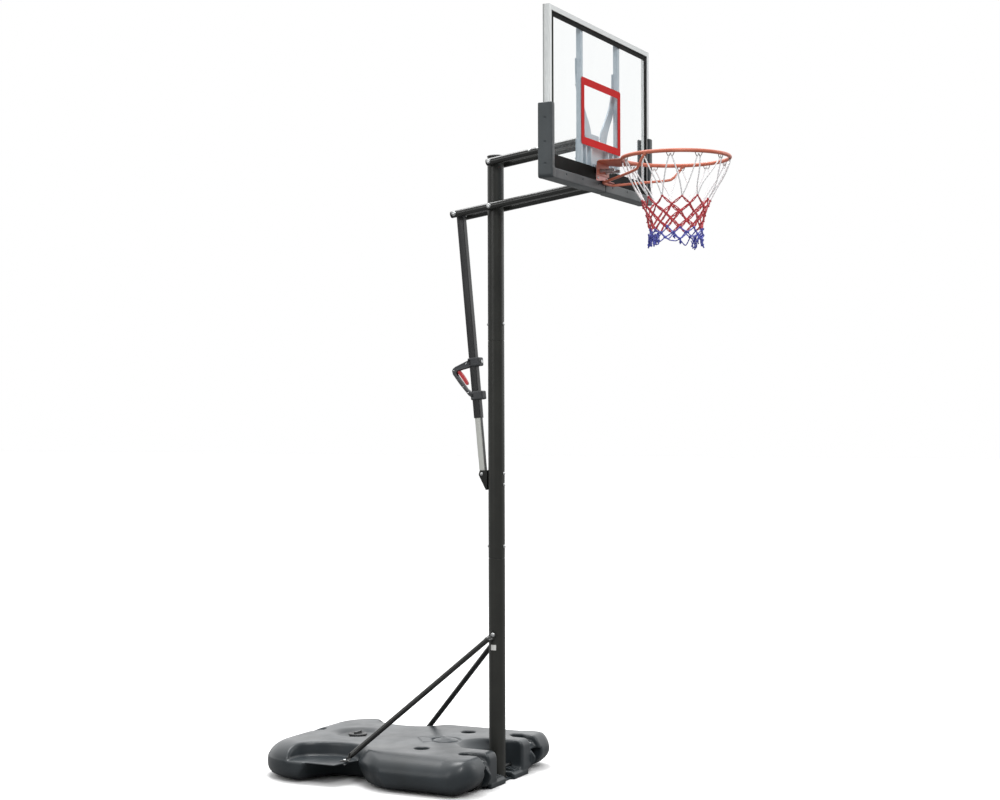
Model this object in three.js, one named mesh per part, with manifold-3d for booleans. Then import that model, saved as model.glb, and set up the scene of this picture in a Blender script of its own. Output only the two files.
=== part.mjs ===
// Portable basketball hoop: a wheeled ballast base, a round three-section pole, a parallel-arm lift with a
// telescoping actuator, a clear framed backboard and a sprung breakaway rim with a net.
// Units are millimetres. +Z is up, the player stands on the -Y side, and +X is to the right when looking
// along +Y. The origin is on the ground on the pole's centre line.
import * as THREE from "three";
import { mergeVertices } from "three/addons/utils/BufferGeometryUtils.js";
import Module from "manifold-3d";

const wasm = await Module();
wasm.setup();

// ---- driving dimensions ----
const GAP = 0.3; // clearance between pieces that touch

const POLE_RADIUS = 37.5;
const POLE_WALL = 2;
const POLE_FOOT = 12;
const POLE_JOINTS = [1014, 2006];
const POLE_TOP = 2846;
const SPIGOT_LENGTH = 100;

const BASE_HALF_WIDTH = 467;
const BASE_FRONT = -88;
const BASE_REAR = 1055;
const BASE_BOTTOM = 12;
const BASE_TOP = 163;
const BASE_SHOULDER = 74;
const BASE_FRONT_CORNER = 110;
const BASE_REAR_CORNER = 240;
const SHELF_TOP = 101;
const SHELF_BOTTOM = 91;
const SLOT_HALF_WIDTH = 130;
const SLOT_FLOOR = 34;
const TONGUE = 50;
const TONGUE_TOP = 9;

const WHEEL_RADIUS = 50;
const WHEEL_WIDTH = 44;
const WHEEL_X = 265;
const WHEEL_CLEARANCE = 1;
const AXLE_RADIUS = 6;
const AXLE_REACH = 322;

const LOWER_PIVOT_Z = 2616;
const UPPER_PIVOT_Z = 2818;
const ARM_LENGTH = 466;
const ARM_SLOPE = THREE.MathUtils.degToRad(8.2);
const ARM_RADIUS = 16;
const ARM_WALL = 1.6;
const ARM_X = 57;
const ARM_OVERHANG = 14;
const LEVER_LENGTH = 180;
const LEVER_OVERHANG = 17;

const ACTUATOR_FOOT = { y: 66, z: 1398 };
const ACTUATOR_HEAD = { y: 178.2, z: 2590.3 };
const OUTER_TUBE = 34;
const OUTER_WALL = 1.6;
const OUTER_TUBE_START = 258;
const INNER_TUBE = 28;
const INNER_WALL = 2;
const INNER_LENGTH = 700;

const BOARD_WIDTH = 1116;
const BOARD_BOTTOM = 2665;
const BOARD_TOP = 3375;
const BOARD_FRONT = -531;
const BOARD_BACK = -500;
const FRAME_FACE = 22.6;
const SHEET_RECESS = 5.7;
const SHEET_THICKNESS = 3;

const RIM_RADIUS = 233.5;
const RIM_BAR = 8.5;
const RIM_CENTRE = { y: -876, z: 2781 };
const RIM_HINGE = { y: -553, z: 2688 };
const HOOKS = 12;
const NET_THICKNESS = 1.5;

const BOLT_RADIUS = 4;

// ---- materials ----
const finish = (color, roughness, metalness) => new THREE.MeshStandardMaterial({ color, roughness, metalness });
const blackPaint = finish(0x2c2d2c, 0.35, 0.4);
const basePlastic = finish(0x3f4447, 0.5, 0);
const padPlastic = finish(0x4a4e52, 0.6, 0);
const blackPlastic = finish(0x1d1f20, 0.5, 0);
const rubber = finish(0x151515, 0.85, 0);
const zinc = finish(0xc9cbcc, 0.3, 0.9);
const aluminium = finish(0xd6d8d7, 0.3, 0.9);
const greySteel = finish(0xa4b0b7, 0.45, 0.5);
const clearSheet = finish(0xe8f0f0, 0.05, 0);
const rimPaint = finish(0xb8553c, 0.4, 0.3);
const redPlastic = finish(0xb4222c, 0.4, 0);
const netCord = finish(0xdadada, 0.9, 0);
const sand = finish(0xb9a888, 1, 0);
const whitePlastic = finish(0xe6e6e2, 0.5, 0);

// ---- solids ----
// A closed geometry as a solid that can be cut and joined.
function solid(geometry) {
  const bare = new THREE.BufferGeometry();
  const flat = geometry.index ? geometry.toNonIndexed() : geometry;
  bare.setAttribute("position", flat.getAttribute("position").clone());
  const merged = mergeVertices(bare, 1e-4);
  return new wasm.Manifold(
    new wasm.Mesh({
      numProp: 3,
      vertProperties: new Float32Array(merged.attributes.position.array),
      triVerts: new Uint32Array(merged.index.array),
    }),
  );
}

function geometryOf(shape) {
  const mesh = shape.getMesh();
  const geometry = new THREE.BufferGeometry();
  geometry.setAttribute("position", new THREE.BufferAttribute(new Float32Array(mesh.vertProperties), 3));
  geometry.setIndex(new THREE.BufferAttribute(new Uint32Array(mesh.triVerts), 1));
  const flat = geometry.toNonIndexed();
  flat.computeVertexNormals();
  return flat;
}

const vec = (x, y, z) => new THREE.Vector3(x, y, z);
const joined = (shapes) => shapes.reduce((a, b) => a.add(b));
const cut = (shape, tools) => tools.reduce((a, b) => a.subtract(b), shape);

function block(x0, x1, y0, y1, z0, z1) {
  const g = new THREE.BoxGeometry(x1 - x0, y1 - y0, z1 - z0);
  g.translate((x0 + x1) / 2, (y0 + y1) / 2, (z0 + z1) / 2);
  return solid(g);
}

// A straight round bar between two points.
function bar(from, to, radius, sides = 16) {
  const along = to.clone().sub(from);
  const g = new THREE.CylinderGeometry(radius, radius, along.length(), sides);
  g.applyQuaternion(new THREE.Quaternion().setFromUnitVectors(vec(0, 1, 0), along.clone().normalize()));
  g.translate(...from.clone().add(to).multiplyScalar(0.5).toArray());
  return solid(g);
}

// A straight round tube, open at both ends.
function pipe(from, to, radius, wall, sides = 16) {
  const past = to.clone().sub(from).normalize();
  const bore = bar(from.clone().sub(past), to.clone().add(past), radius - wall, sides);
  return bar(from, to, radius, sides).subtract(bore);
}

// The way each axis is drawn: outline's first and second coordinate, then the direction of extrusion.
const DRAWN_ALONG = {
  x: [vec(0, 1, 0), vec(0, 0, 1), vec(1, 0, 0)],
  y: [vec(1, 0, 0), vec(0, 0, 1), vec(0, -1, 0)],
  z: [vec(1, 0, 0), vec(0, 1, 0), vec(0, 0, 1)],
};

// An outline extruded along an axis. Along x the outline is (y, z), along y it is (x, z), along z it is (x, y).
function prism(outline, axis, from, to, holes = [], curveSegments = 5) {
  const shape = Array.isArray(outline) ? new THREE.Shape(outline.map(([a, b]) => new THREE.Vector2(a, b))) : outline;
  shape.holes = holes.map((h) => new THREE.Path(h.map(([a, b]) => new THREE.Vector2(a, b))));
  const g = new THREE.ExtrudeGeometry(shape, { depth: to - from, bevelEnabled: false, curveSegments });
  g.translate(0, 0, axis === "y" ? -to : from);
  g.applyMatrix4(new THREE.Matrix4().makeBasis(...DRAWN_ALONG[axis]));
  return solid(g);
}

function rectangle(a0, a1, b0, b1) {
  return [
    [a0, b0],
    [a1, b0],
    [a1, b1],
    [a0, b1],
  ];
}

function roundedRectangle(a0, a1, b0, b1, r) {
  const s = new THREE.Shape();
  s.absarc(a1 - r, b0 + r, r, -Math.PI / 2, 0);
  s.absarc(a1 - r, b1 - r, r, 0, Math.PI / 2);
  s.absarc(a0 + r, b1 - r, r, Math.PI / 2, Math.PI);
  s.absarc(a0 + r, b0 + r, r, Math.PI, 1.5 * Math.PI);
  return s;
}

// A profile of [radius, height] points turned about the vertical axis.
function turned(profile, sides = 32) {
  const points = profile.map(([r, z]) => new THREE.Vector2(r, z));
  const first = points[0];
  const last = points[points.length - 1];
  if (first.x > 0 || last.x > 0) points.push(first.clone());
  const g = new THREE.LatheGeometry(points, sides);
  g.rotateX(Math.PI / 2);
  return solid(g);
}

// A round bar swept along a curve.
function bentBar(curve, radius, steps, sides = 8) {
  const section = new THREE.Shape();
  for (let i = 0; i < sides; i++) {
    const a = (i / sides) * 2 * Math.PI;
    if (i) section.lineTo(radius * Math.cos(a), radius * Math.sin(a));
    else section.moveTo(radius, 0);
  }
  return solid(new THREE.ExtrudeGeometry(section, { steps, bevelEnabled: false, extrudePath: curve }));
}

// A through bolt with a round head, a washer at each end and a hex nut.
function throughBolt(head, nut, radius = BOLT_RADIUS, headRadius = 9) {
  const along = nut.clone().sub(head).normalize();
  const at = (point, distance) => point.clone().addScaledVector(along, distance);
  return joined([
    bar(at(head, -4), at(nut, 8), radius, 8),
    bar(at(head, -5), head, headRadius, 10),
    bar(nut, at(nut, 1.5), headRadius, 10),
    bar(at(nut, 1), at(nut, 7), headRadius * 0.8, 6),
  ]);
}

const model = new THREE.Group();

function add(name, shape, material, parent = model) {
  const mesh = new THREE.Mesh(geometryOf(shape), material);
  mesh.name = name;
  parent.add(mesh);
  return mesh;
}

// ---- base ----
// The outline of the moulded tank at a given inset, with as many points at every level.
function baseOutline(inset, frontInset = inset) {
  const x = BASE_HALF_WIDTH - inset;
  const front = BASE_FRONT + frontInset;
  const rear = BASE_REAR - inset;
  const f = Math.max(BASE_FRONT_CORNER - frontInset, 20);
  const r = Math.max(BASE_REAR_CORNER - inset, 60);
  const s = new THREE.Shape();
  s.absarc(x - f, front + f, f, -Math.PI / 2, 0);
  s.absarc(x - r, rear - r, r, 0, Math.PI / 2);
  s.absarc(r - x, rear - r, r, Math.PI / 2, Math.PI);
  s.absarc(f - x, front + f, f, Math.PI, 1.5 * Math.PI);
  return s.extractPoints(6).shape.slice(0, -1);
}

// A solid skinned over rings of points stacked in height, each with as many points.
function skinned(rings) {
  const n = rings[0].length;
  const vertices = [];
  const triangle = (...corners) => corners.forEach((c) => vertices.push(c.x, c.y, c.z));
  for (let k = 0; k + 1 < rings.length; k++)
    for (let i = 0; i < n; i++) {
      const j = (i + 1) % n;
      triangle(rings[k][i], rings[k][j], rings[k + 1][j]);
      triangle(rings[k][i], rings[k + 1][j], rings[k + 1][i]);
    }
  const flat = rings[0].map((p) => new THREE.Vector2(p.x, p.y));
  for (const [a, b, c] of THREE.ShapeUtils.triangulateShape(flat, [])) {
    const bottom = rings[0];
    const top = rings[rings.length - 1];
    triangle(bottom[a], bottom[c], bottom[b]);
    triangle(top[a], top[b], top[c]);
  }
  const g = new THREE.BufferGeometry();
  g.setAttribute("position", new THREE.BufferAttribute(new Float32Array(vertices), 3));
  return solid(g);
}

function tankBody() {
  const shoulderWidth = 118;
  const shoulderHeight = BASE_TOP - BASE_SHOULDER;
  const levels = [
    { inset: 12, z: BASE_BOTTOM },
    { inset: 3, z: BASE_BOTTOM + 5 },
    { inset: 0, z: BASE_BOTTOM + 16 },
    { inset: 0, z: BASE_SHOULDER },
  ];
  for (const t of [0.25, 0.5, 0.75, 1]) {
    const a = (t * Math.PI) / 2;
    levels.push({
      inset: shoulderWidth * (1 - Math.cos(a)),
      z: BASE_SHOULDER + shoulderHeight * Math.sin(a),
    });
  }
  return skinned(levels.map(({ inset, z }) => baseOutline(inset, inset * 0.45).map((p) => vec(p.x, p.y, z))));
}

function mirrored(outline) {
  return outline.map(([a, b]) => [-a, b]).reverse();
}

function tankCuts() {
  const cuts = [];
  // The waist above the shelf, at the shelf and above the tank's top: its wall slopes between the two.
  const waistLow = [
    [520, 340],
    [467, 372],
    [448, 420],
    [410, 475],
    [366, 520],
    [318, 545],
    [288, 580],
    [276, 650],
    [286, 730],
    [316, 790],
    [370, 832],
    [520, 846],
  ];
  const waistHigh = [
    [520, 250],
    [450, 330],
    [410, 405],
    [370, 455],
    [328, 485],
    [292, 520],
    [268, 575],
    [262, 650],
    [276, 745],
    [312, 822],
    [375, 858],
    [520, 872],
  ];
  const lowerWaist = [
    [520, 340],
    [467, 372],
    [448, 420],
    [410, 475],
    [366, 520],
    [318, 545],
    [300, 580],
    [302, 640],
    [330, 690],
    [455, 745],
    [520, 760],
  ];
  // The gap between the front lobe and the shelf's front edge, open from top to bottom.
  const lobeGap = [...lowerWaist.slice(0, 6), [330, 556], [462, 590], [520, 592]];
  const groove = [
    [206, -120],
    [206, 20],
    [216, 44],
    [238, 54],
    [262, 44],
    [276, 20],
    [310, -40],
    [310, -120],
  ];
  for (const side of [(o) => o, mirrored]) {
    const ring = (outline, z) => side(outline).map(([x, y]) => vec(x, y, z)).reverse();
    cuts.push(skinned([ring(waistLow, SHELF_TOP), ring(waistHigh, BASE_TOP + 12)]));
    cuts.push(prism(side(lowerWaist), "z", 0, SHELF_BOTTOM));
    cuts.push(prism(side(lobeGap), "z", 0, SHELF_TOP + 1));
    cuts.push(prism(side(groove), "z", 112, 200));
  }
  for (const x of [-WHEEL_X, WHEEL_X]) {
    const half = WHEEL_WIDTH / 2 + 8;
    cuts.push(block(x - half, x + half, -140, 62, 0, WHEEL_RADIUS * 2 + 6));
    cuts.push(bar(vec(Math.sign(x) * 228, 268, 120), vec(Math.sign(x) * 228, 268, 200), 34, 16));
  }
  const scoop = [
    [66, SLOT_FLOOR],
    [92, 58],
    [128, 110],
    [190, BASE_TOP + 0.5],
    [190, 200],
    [-200, 200],
    [-200, SLOT_FLOOR],
  ];
  cuts.push(prism(scoop, "x", -SLOT_HALF_WIDTH, SLOT_HALF_WIDTH));
  cuts.push(block(-42, 42, -200, 42, TONGUE_TOP, 100));
  return cuts;
}

const FILLER = { y: 742, radius: 34 };

function addBase() {
  const feet = [-250, 250].map((x) => prism(roundedRectangle(x - 70, x + 70, 860, 960, 30), "z", 0, 40));
  const lip = prism(roundedRectangle(-200, 200, BASE_FRONT + 22, -46, 8), "z", 0, 30);
  const tongue = prism(roundedRectangle(-TONGUE, TONGUE, -46, 80, 8), "z", 0, 30);
  let tank = cut(joined([tankBody(), ...feet, lip, tongue]), tankCuts());
  const dish = turned([
    [0, BASE_TOP + 1],
    [0, 148],
    [96, 148],
    [120, BASE_TOP + 1],
  ]);
  tank = tank.subtract(dish.translate([0, FILLER.y, 0]));
  const neck = bar(vec(0, FILLER.y, 80), vec(0, FILLER.y, 200), FILLER.radius, 20);
  const cavity = prism(roundedRectangle(-235, 235, 110, 830, 60), "z", 24, 92);
  const rearRoom = block(-460, 460, 880, 1100, 0, 200);
  const rearCavity = prism(baseOutline(30), "z", 24, 118).intersect(rearRoom);
  const link = block(-60, 60, 800, 920, 30, 90);
  const crown = prism(roundedRectangle(-186, 186, 215, 700, 50), "z", 90, 138);
  const lobes = [-1, 1].map((s) => {
    const x = [s * 332, s * 440];
    return prism(roundedRectangle(Math.min(...x), Math.max(...x), -50, 335, 40), "z", 24, 118);
  });
  const passages = [-1, 1].map((s) => block(Math.min(s * 225, s * 345), Math.max(s * 225, s * 345), 120, 330, 72, 90));
  tank = cut(tank, [joined([cavity, rearCavity, link, crown, ...lobes, ...passages]), neck]);
  const axleZ = WHEEL_RADIUS + WHEEL_CLEARANCE;
  const seat = AXLE_REACH + 2;
  tank = cut(tank, [
    bar(vec(-seat, 0, axleZ), vec(seat, 0, axleZ), AXLE_RADIUS + 1),
    ...[-seat, TONGUE].map((x) => block(x, x + seat - TONGUE, -AXLE_RADIUS - 1, AXLE_RADIUS + 1, -5, axleZ)),
  ]);
  for (const x of [-1, 1]) tank = tank.subtract(bar(vec(x * 366, 590, 60), vec(x * 366, 590, 120), 5, 12));
  add("base_tank", tank, basePlastic);
  const fill = [
    prism(roundedRectangle(-232, 232, 113, 827, 58), "z", 24 + GAP, 84),
    prism(baseOutline(33), "z", 24 + GAP, 84).intersect(block(-460, 460, 883, 1100, 0, 200)),
    block(-57, 57, 800, 920, 30 + GAP, 84),
  ];
  add("ballast_sand", joined(fill), sand);
  const cap = turned([
    [0, 120],
    [FILLER.radius - 1.5, 120],
    [FILLER.radius - 1.5, 148.5],
    [44, 148.5],
    [44, 156],
    [40, 159],
    [0, 159],
  ]);
  const grip = block(-30, 30, FILLER.y - 6, FILLER.y + 6, 156, 168);
  add("filler_cap", cap.translate([0, FILLER.y, 0]).add(grip), blackPlastic);
}

function addWheels() {
  const z = WHEEL_RADIUS + WHEEL_CLEARANCE;
  const axle = bar(vec(-AXLE_REACH, 0, z), vec(AXLE_REACH, 0, z), AXLE_RADIUS, 20);
  for (const side of [-1, 1]) {
    const h = WHEEL_WIDTH / 2;
    const wheel = turned(
      [
        [AXLE_RADIUS + 0.4, -h],
        [16, -h],
        [18, -h + 8],
        [WHEEL_RADIUS - 12, -h + 8],
        [WHEEL_RADIUS - 9, -h],
        [WHEEL_RADIUS - 2, -h],
        [WHEEL_RADIUS, -h + 4],
        [WHEEL_RADIUS, h - 4],
        [WHEEL_RADIUS - 2, h],
        [WHEEL_RADIUS - 9, h],
        [WHEEL_RADIUS - 12, h - 8],
        [18, h - 8],
        [16, h],
        [AXLE_RADIUS + 0.4, h],
      ],
      24,
    );
    add(side < 0 ? "wheel_left" : "wheel_right", wheel.rotate([0, 90, 0]).translate([side * WHEEL_X, 0, z]), rubber);
  }
  add("axle_rod", axle, zinc);
}

// ---- pole ----
function poleSection(from, to, spigot) {
  const r = POLE_RADIUS;
  const inner = r - POLE_WALL;
  const plug = inner - 0.4;
  const profile = [
    [inner, from],
    [r, from],
    [r, to],
  ];
  if (spigot) {
    profile.push([plug, to + 1.5], [plug, to + SPIGOT_LENGTH], [plug - POLE_WALL, to + SPIGOT_LENGTH]);
    profile.push([plug - POLE_WALL, to - 12], [inner, to - 16]);
  } else {
    profile.push([inner, to]);
  }
  return turned(profile, 24);
}

const BRACE_BOLT_Z = 668;
const JOINT_BOLTS = [1069, 2083];
const BRACKET_BOLTS = [1350, 1401];

function addPole() {
  const across = (z, r) => bar(vec(-60, 0, z), vec(60, 0, z), r, 12);
  const through = (z, r = BOLT_RADIUS + 0.5) => bar(vec(0, -60, z), vec(0, 60, z), r, 12);
  const lower = cut(poleSection(POLE_FOOT, POLE_JOINTS[0], true), [
    across(WHEEL_RADIUS + WHEEL_CLEARANCE, AXLE_RADIUS + 0.6),
    across(BRACE_BOLT_Z, BOLT_RADIUS + 1.5),
    through(JOINT_BOLTS[0]),
  ]);
  const middle = cut(poleSection(POLE_JOINTS[0] + 2, POLE_JOINTS[1], true), [
    through(JOINT_BOLTS[0]),
    through(JOINT_BOLTS[1]),
    ...BRACKET_BOLTS.map((z) => through(z)),
  ]);
  const upper = cut(poleSection(POLE_JOINTS[1] + 2, POLE_TOP, false), [
    through(JOINT_BOLTS[1]),
    across(LOWER_PIVOT_Z, BOLT_RADIUS + 1.5),
    across(UPPER_PIVOT_Z, BOLT_RADIUS + 1.5),
  ]);
  add("pole_lower", lower, blackPaint);
  add("pole_middle", middle, blackPaint);
  add("pole_upper", upper, blackPaint);
  const plug = POLE_RADIUS - POLE_WALL - 0.4;
  const cap = turned([
    [0, POLE_TOP - 18],
    [plug, POLE_TOP - 18],
    [plug, POLE_TOP + GAP],
    [POLE_RADIUS + 1.5, POLE_TOP + GAP],
    [POLE_RADIUS + 1.5, POLE_TOP + 3],
    [POLE_RADIUS - 8, POLE_TOP + 7.5],
    [0, POLE_TOP + 10],
  ]);
  add("pole_top_cap", cap, blackPlastic);
  ["lower", "upper"].forEach((name, i) => {
    const reach = POLE_RADIUS + GAP;
    add("pole_joint_bolt_" + name, throughBolt(vec(0, -reach, JOINT_BOLTS[i]), vec(0, reach, JOINT_BOLTS[i])), zinc);
  });
  const label = block(-POLE_RADIUS - 1.2, -POLE_RADIUS - GAP, -14, 14, 597, 622);
  add("blank_label", label, whitePlastic);
}

// ---- braces ----
const BRACE_FOOT = { x: 366, y: 590, z: SHELF_TOP };

function addBraces() {
  for (const side of [-1, 1]) {
    const name = side < 0 ? "left" : "right";
    const top = vec(side * (POLE_RADIUS + 4), 0, BRACE_BOLT_Z);
    const foot = vec(side * BRACE_FOOT.x, BRACE_FOOT.y, BRACE_FOOT.z + 3);
    const run = foot.clone().sub(top);
    const from = top.clone().addScaledVector(run, 0.035);
    const to = top.clone().addScaledVector(run, 0.965);
    const inner = side * (POLE_RADIUS + GAP + 0.2);
    const outer = inner + side * 4;
    const lug = [
      [-13, BRACE_BOLT_Z + 12],
      [-13, BRACE_BOLT_Z - 14],
      [from.y - 4, from.z - 18],
      [from.y + 14, from.z - 8],
      [from.y + 12, from.z + 12],
      [8, BRACE_BOLT_Z + 14],
    ];
    const upperLug = prism(lug, "x", Math.min(inner, outer), Math.max(inner, outer));
    const tab = prism(
      roundedRectangle(foot.x - 17, foot.x + 17, foot.y - 26, foot.y + 18, 12),
      "z",
      SHELF_TOP + GAP,
      SHELF_TOP + GAP + 4,
    );
    const bend = bar(to.clone(), vec(foot.x - side * 2, foot.y - 26, SHELF_TOP + 5), 9, 16);
    const brace = cut(joined([upperLug, bar(from, to, 12.5, 20), bend, tab]), [
      bar(vec(side * 30, 0, BRACE_BOLT_Z), vec(side * 60, 0, BRACE_BOLT_Z), BOLT_RADIUS + 1.2, 12),
      bar(vec(foot.x, foot.y, 90), vec(foot.x, foot.y, 140), 4.6, 12),
      block(-600, 600, -100, 700, 60, SHELF_TOP + GAP),
      block(-POLE_RADIUS - GAP, POLE_RADIUS + GAP, -60, 60, 500, 700),
    ]);
    add("brace_" + name, brace, blackPaint);
    const shelfBolt = throughBolt(vec(foot.x, foot.y, SHELF_TOP + 5.5), vec(foot.x, foot.y, SHELF_BOTTOM - GAP));
    add("brace_foot_bolt_" + name, shelfBolt, zinc);
  }
  const reach = POLE_RADIUS + 5.2;
  add("brace_top_bolt", throughBolt(vec(-reach, 0, BRACE_BOLT_Z), vec(reach, 0, BRACE_BOLT_Z), 5, 10), zinc);
}

// ---- lift arms ----
const alongArm = (distance) => ({
  y: -distance * Math.cos(ARM_SLOPE),
  z: distance * Math.sin(ARM_SLOPE),
});

function armPoint(x, pivotZ, distance) {
  const p = alongArm(distance);
  return vec(x, p.y, pivotZ + p.z);
}

function arm(side, pivotZ, rear, boreDistances) {
  const x = side * ARM_X;
  const tube = pipe(armPoint(x, pivotZ, -rear), armPoint(x, pivotZ, ARM_LENGTH + ARM_OVERHANG), ARM_RADIUS, ARM_WALL);
  return cut(
    tube,
    boreDistances.map((d) => bar(armPoint(x - 30, pivotZ, d), armPoint(x + 30, pivotZ, d), BOLT_RADIUS + 1.4, 12)),
  );
}

function pivotBolt(pivotZ, distance) {
  const reach = ARM_X + ARM_RADIUS + 0.6;
  return throughBolt(armPoint(-reach, pivotZ, distance), armPoint(reach, pivotZ, distance), 5, 11);
}

function addArms() {
  for (const side of [-1, 1]) {
    const name = side < 0 ? "left" : "right";
    const lower = arm(side, LOWER_PIVOT_Z, LEVER_LENGTH + LEVER_OVERHANG, [-LEVER_LENGTH, 0, ARM_LENGTH]);
    add("lower_arm_" + name, lower, blackPaint);
    add("upper_arm_" + name, arm(side, UPPER_PIVOT_Z, ARM_OVERHANG, [0, ARM_LENGTH]), blackPaint);
    const end = LEVER_LENGTH + LEVER_OVERHANG;
    const x = side * ARM_X;
    const plug = joined([
      bar(armPoint(x, LOWER_PIVOT_Z, -end + 8), armPoint(x, LOWER_PIVOT_Z, -end - 1), ARM_RADIUS - ARM_WALL - 0.4, 20),
      bar(armPoint(x, LOWER_PIVOT_Z, -end - GAP), armPoint(x, LOWER_PIVOT_Z, -end - 4), ARM_RADIUS, 20),
    ]);
    add("arm_end_plug_" + name, plug, blackPlastic);
    const stub = joined([
      bar(armPoint(side * 22, LOWER_PIVOT_Z, -LEVER_LENGTH), armPoint(side * 78, LOWER_PIVOT_Z, -LEVER_LENGTH), 5, 12),
      bar(armPoint(side * 73.6, LOWER_PIVOT_Z, -LEVER_LENGTH), armPoint(side * 80, LOWER_PIVOT_Z, -LEVER_LENGTH), 11, 12),
      bar(armPoint(side * 36, LOWER_PIVOT_Z, -LEVER_LENGTH), armPoint(side * 40.4, LOWER_PIVOT_Z, -LEVER_LENGTH), 9, 6),
    ]);
    add("actuator_head_bolt_" + name, stub, zinc);
  }
  add("lower_pivot_bolt", pivotBolt(LOWER_PIVOT_Z, 0), zinc);
  add("upper_pivot_bolt", pivotBolt(UPPER_PIVOT_Z, 0), zinc);
  add("board_bolt_lower", pivotBolt(LOWER_PIVOT_Z, ARM_LENGTH), zinc);
  add("board_bolt_upper", pivotBolt(UPPER_PIVOT_Z, ARM_LENGTH), zinc);
}

// ---- actuator: built along its own axis, then tilted into place ----
const ACTUATOR_LENGTH = Math.hypot(ACTUATOR_HEAD.y - ACTUATOR_FOOT.y, ACTUATOR_HEAD.z - ACTUATOR_FOOT.z);
const ACTUATOR_TILT = Math.atan2(ACTUATOR_HEAD.y - ACTUATOR_FOOT.y, ACTUATOR_HEAD.z - ACTUATOR_FOOT.z);
const LATCH_HEIGHT = 515;
const COLLARS = [361, LATCH_HEIGHT];
const COLLAR_REACH = 38;
const TRIGGER_PIVOT = { y: 80, z: 477 };

function squareTube(size, wall, from, to) {
  const h = size / 2;
  const i = h - wall;
  return prism(roundedRectangle(-h, h, -h, h, 3), "z", from, to, [rectangle(-i, i, -i, i)], 3);
}

function spring(from, to, coilRadius, wire, turns) {
  const length = to.distanceTo(from);
  class Coil extends THREE.Curve {
    getPoint(t, target = new THREE.Vector3()) {
      const a = t * turns * 2 * Math.PI;
      return target.set(coilRadius * Math.cos(a), coilRadius * Math.sin(a), t * length);
    }
  }
  const turn = new THREE.Quaternion().setFromUnitVectors(vec(0, 0, 1), to.clone().sub(from).normalize());
  const g = geometryOf(bentBar(new Coil(), wire, turns * 8, 5));
  g.applyQuaternion(turn);
  g.translate(from.x, from.y, from.z);
  return solid(g);
}

function addActuator() {
  const group = new THREE.Group();
  group.position.set(0, ACTUATOR_FOOT.y, ACTUATOR_FOOT.z);
  group.rotation.x = -ACTUATOR_TILT;
  model.add(group);

  const notches = [];
  for (let i = 0; i < 12; i++) {
    const z = 395 + 24 * i;
    notches.push(bar(vec(0, -20, z), vec(0, -8, z), 5, 10));
  }
  const inner = cut(squareTube(INNER_TUBE, INNER_WALL, -13, INNER_LENGTH), [
    ...notches,
    bar(vec(-30, 0, 0), vec(30, 0, 0), BOLT_RADIUS + 0.5, 12),
  ]);
  add("actuator_inner_tube", inner, zinc, group);

  const outer = cut(squareTube(OUTER_TUBE, OUTER_WALL, OUTER_TUBE_START, ACTUATOR_LENGTH + 14), [
    bar(vec(0, -30, LATCH_HEIGHT), vec(0, -10, LATCH_HEIGHT), 5, 12),
  ]);
  const crossBush = bar(vec(-21, 0, ACTUATOR_LENGTH), vec(21, 0, ACTUATOR_LENGTH), 8, 16);
  add("actuator_outer_tube", outer.add(crossBush), blackPaint, group);

  const grip = new THREE.Shape();
  grip.moveTo(16, 538);
  grip.quadraticCurveTo(66, 530, 112, 506);
  grip.quadraticCurveTo(132, 492, 120, 474);
  grip.quadraticCurveTo(92, 420, 40, 352);
  grip.lineTo(16, 342);
  grip.lineTo(16, 376);
  grip.quadraticCurveTo(46, 394, 66, 426);
  grip.quadraticCurveTo(84, 456, 92, 478);
  grip.quadraticCurveTo(60, 490, 16, 500);
  const handle = joined([
    prism(grip, "x", -14, 14),
    ...COLLARS.map((z) => prism(roundedRectangle(-24, 24, -COLLAR_REACH, 22, 7), "z", z - 20, z + 20, [], 4)),
  ]);
  const bore = OUTER_TUBE / 2 + GAP;
  const handleBody = cut(handle, [
    block(-bore, bore, -bore, bore, 300, 600),
    bar(vec(0, -60, LATCH_HEIGHT), vec(0, -10, LATCH_HEIGHT), 5, 12),
    block(-7, 7, 60, 100, 462, 488),
    bar(vec(-12, TRIGGER_PIVOT.y, TRIGGER_PIVOT.z), vec(12, TRIGGER_PIVOT.y, TRIGGER_PIVOT.z), 2.8, 16),
  ]);
  add("actuator_handle", handleBody, blackPlastic, group);

  const lever = [
    [88, 486],
    [74, 487],
    [70, 474],
    [37, 424],
    [39, 414],
    [49, 414],
    [76, 461],
  ];
  const stubAxle = bar(vec(-11, TRIGGER_PIVOT.y, TRIGGER_PIVOT.z), vec(11, TRIGGER_PIVOT.y, TRIGGER_PIVOT.z), 2.5, 12);
  add("handle_trigger", prism(lever, "x", -6, 6).add(stubAxle), redPlastic, group);

  const latch = joined([
    bar(vec(0, -COLLAR_REACH - 2, LATCH_HEIGHT), vec(0, -INNER_TUBE / 2 - 0.4, LATCH_HEIGHT), 4.4, 12),
    bar(vec(0, -COLLAR_REACH - 4, LATCH_HEIGHT), vec(0, -COLLAR_REACH - 1, LATCH_HEIGHT), 8, 12),
  ]);
  add("latch_pin", latch, zinc, group);
}

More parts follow.
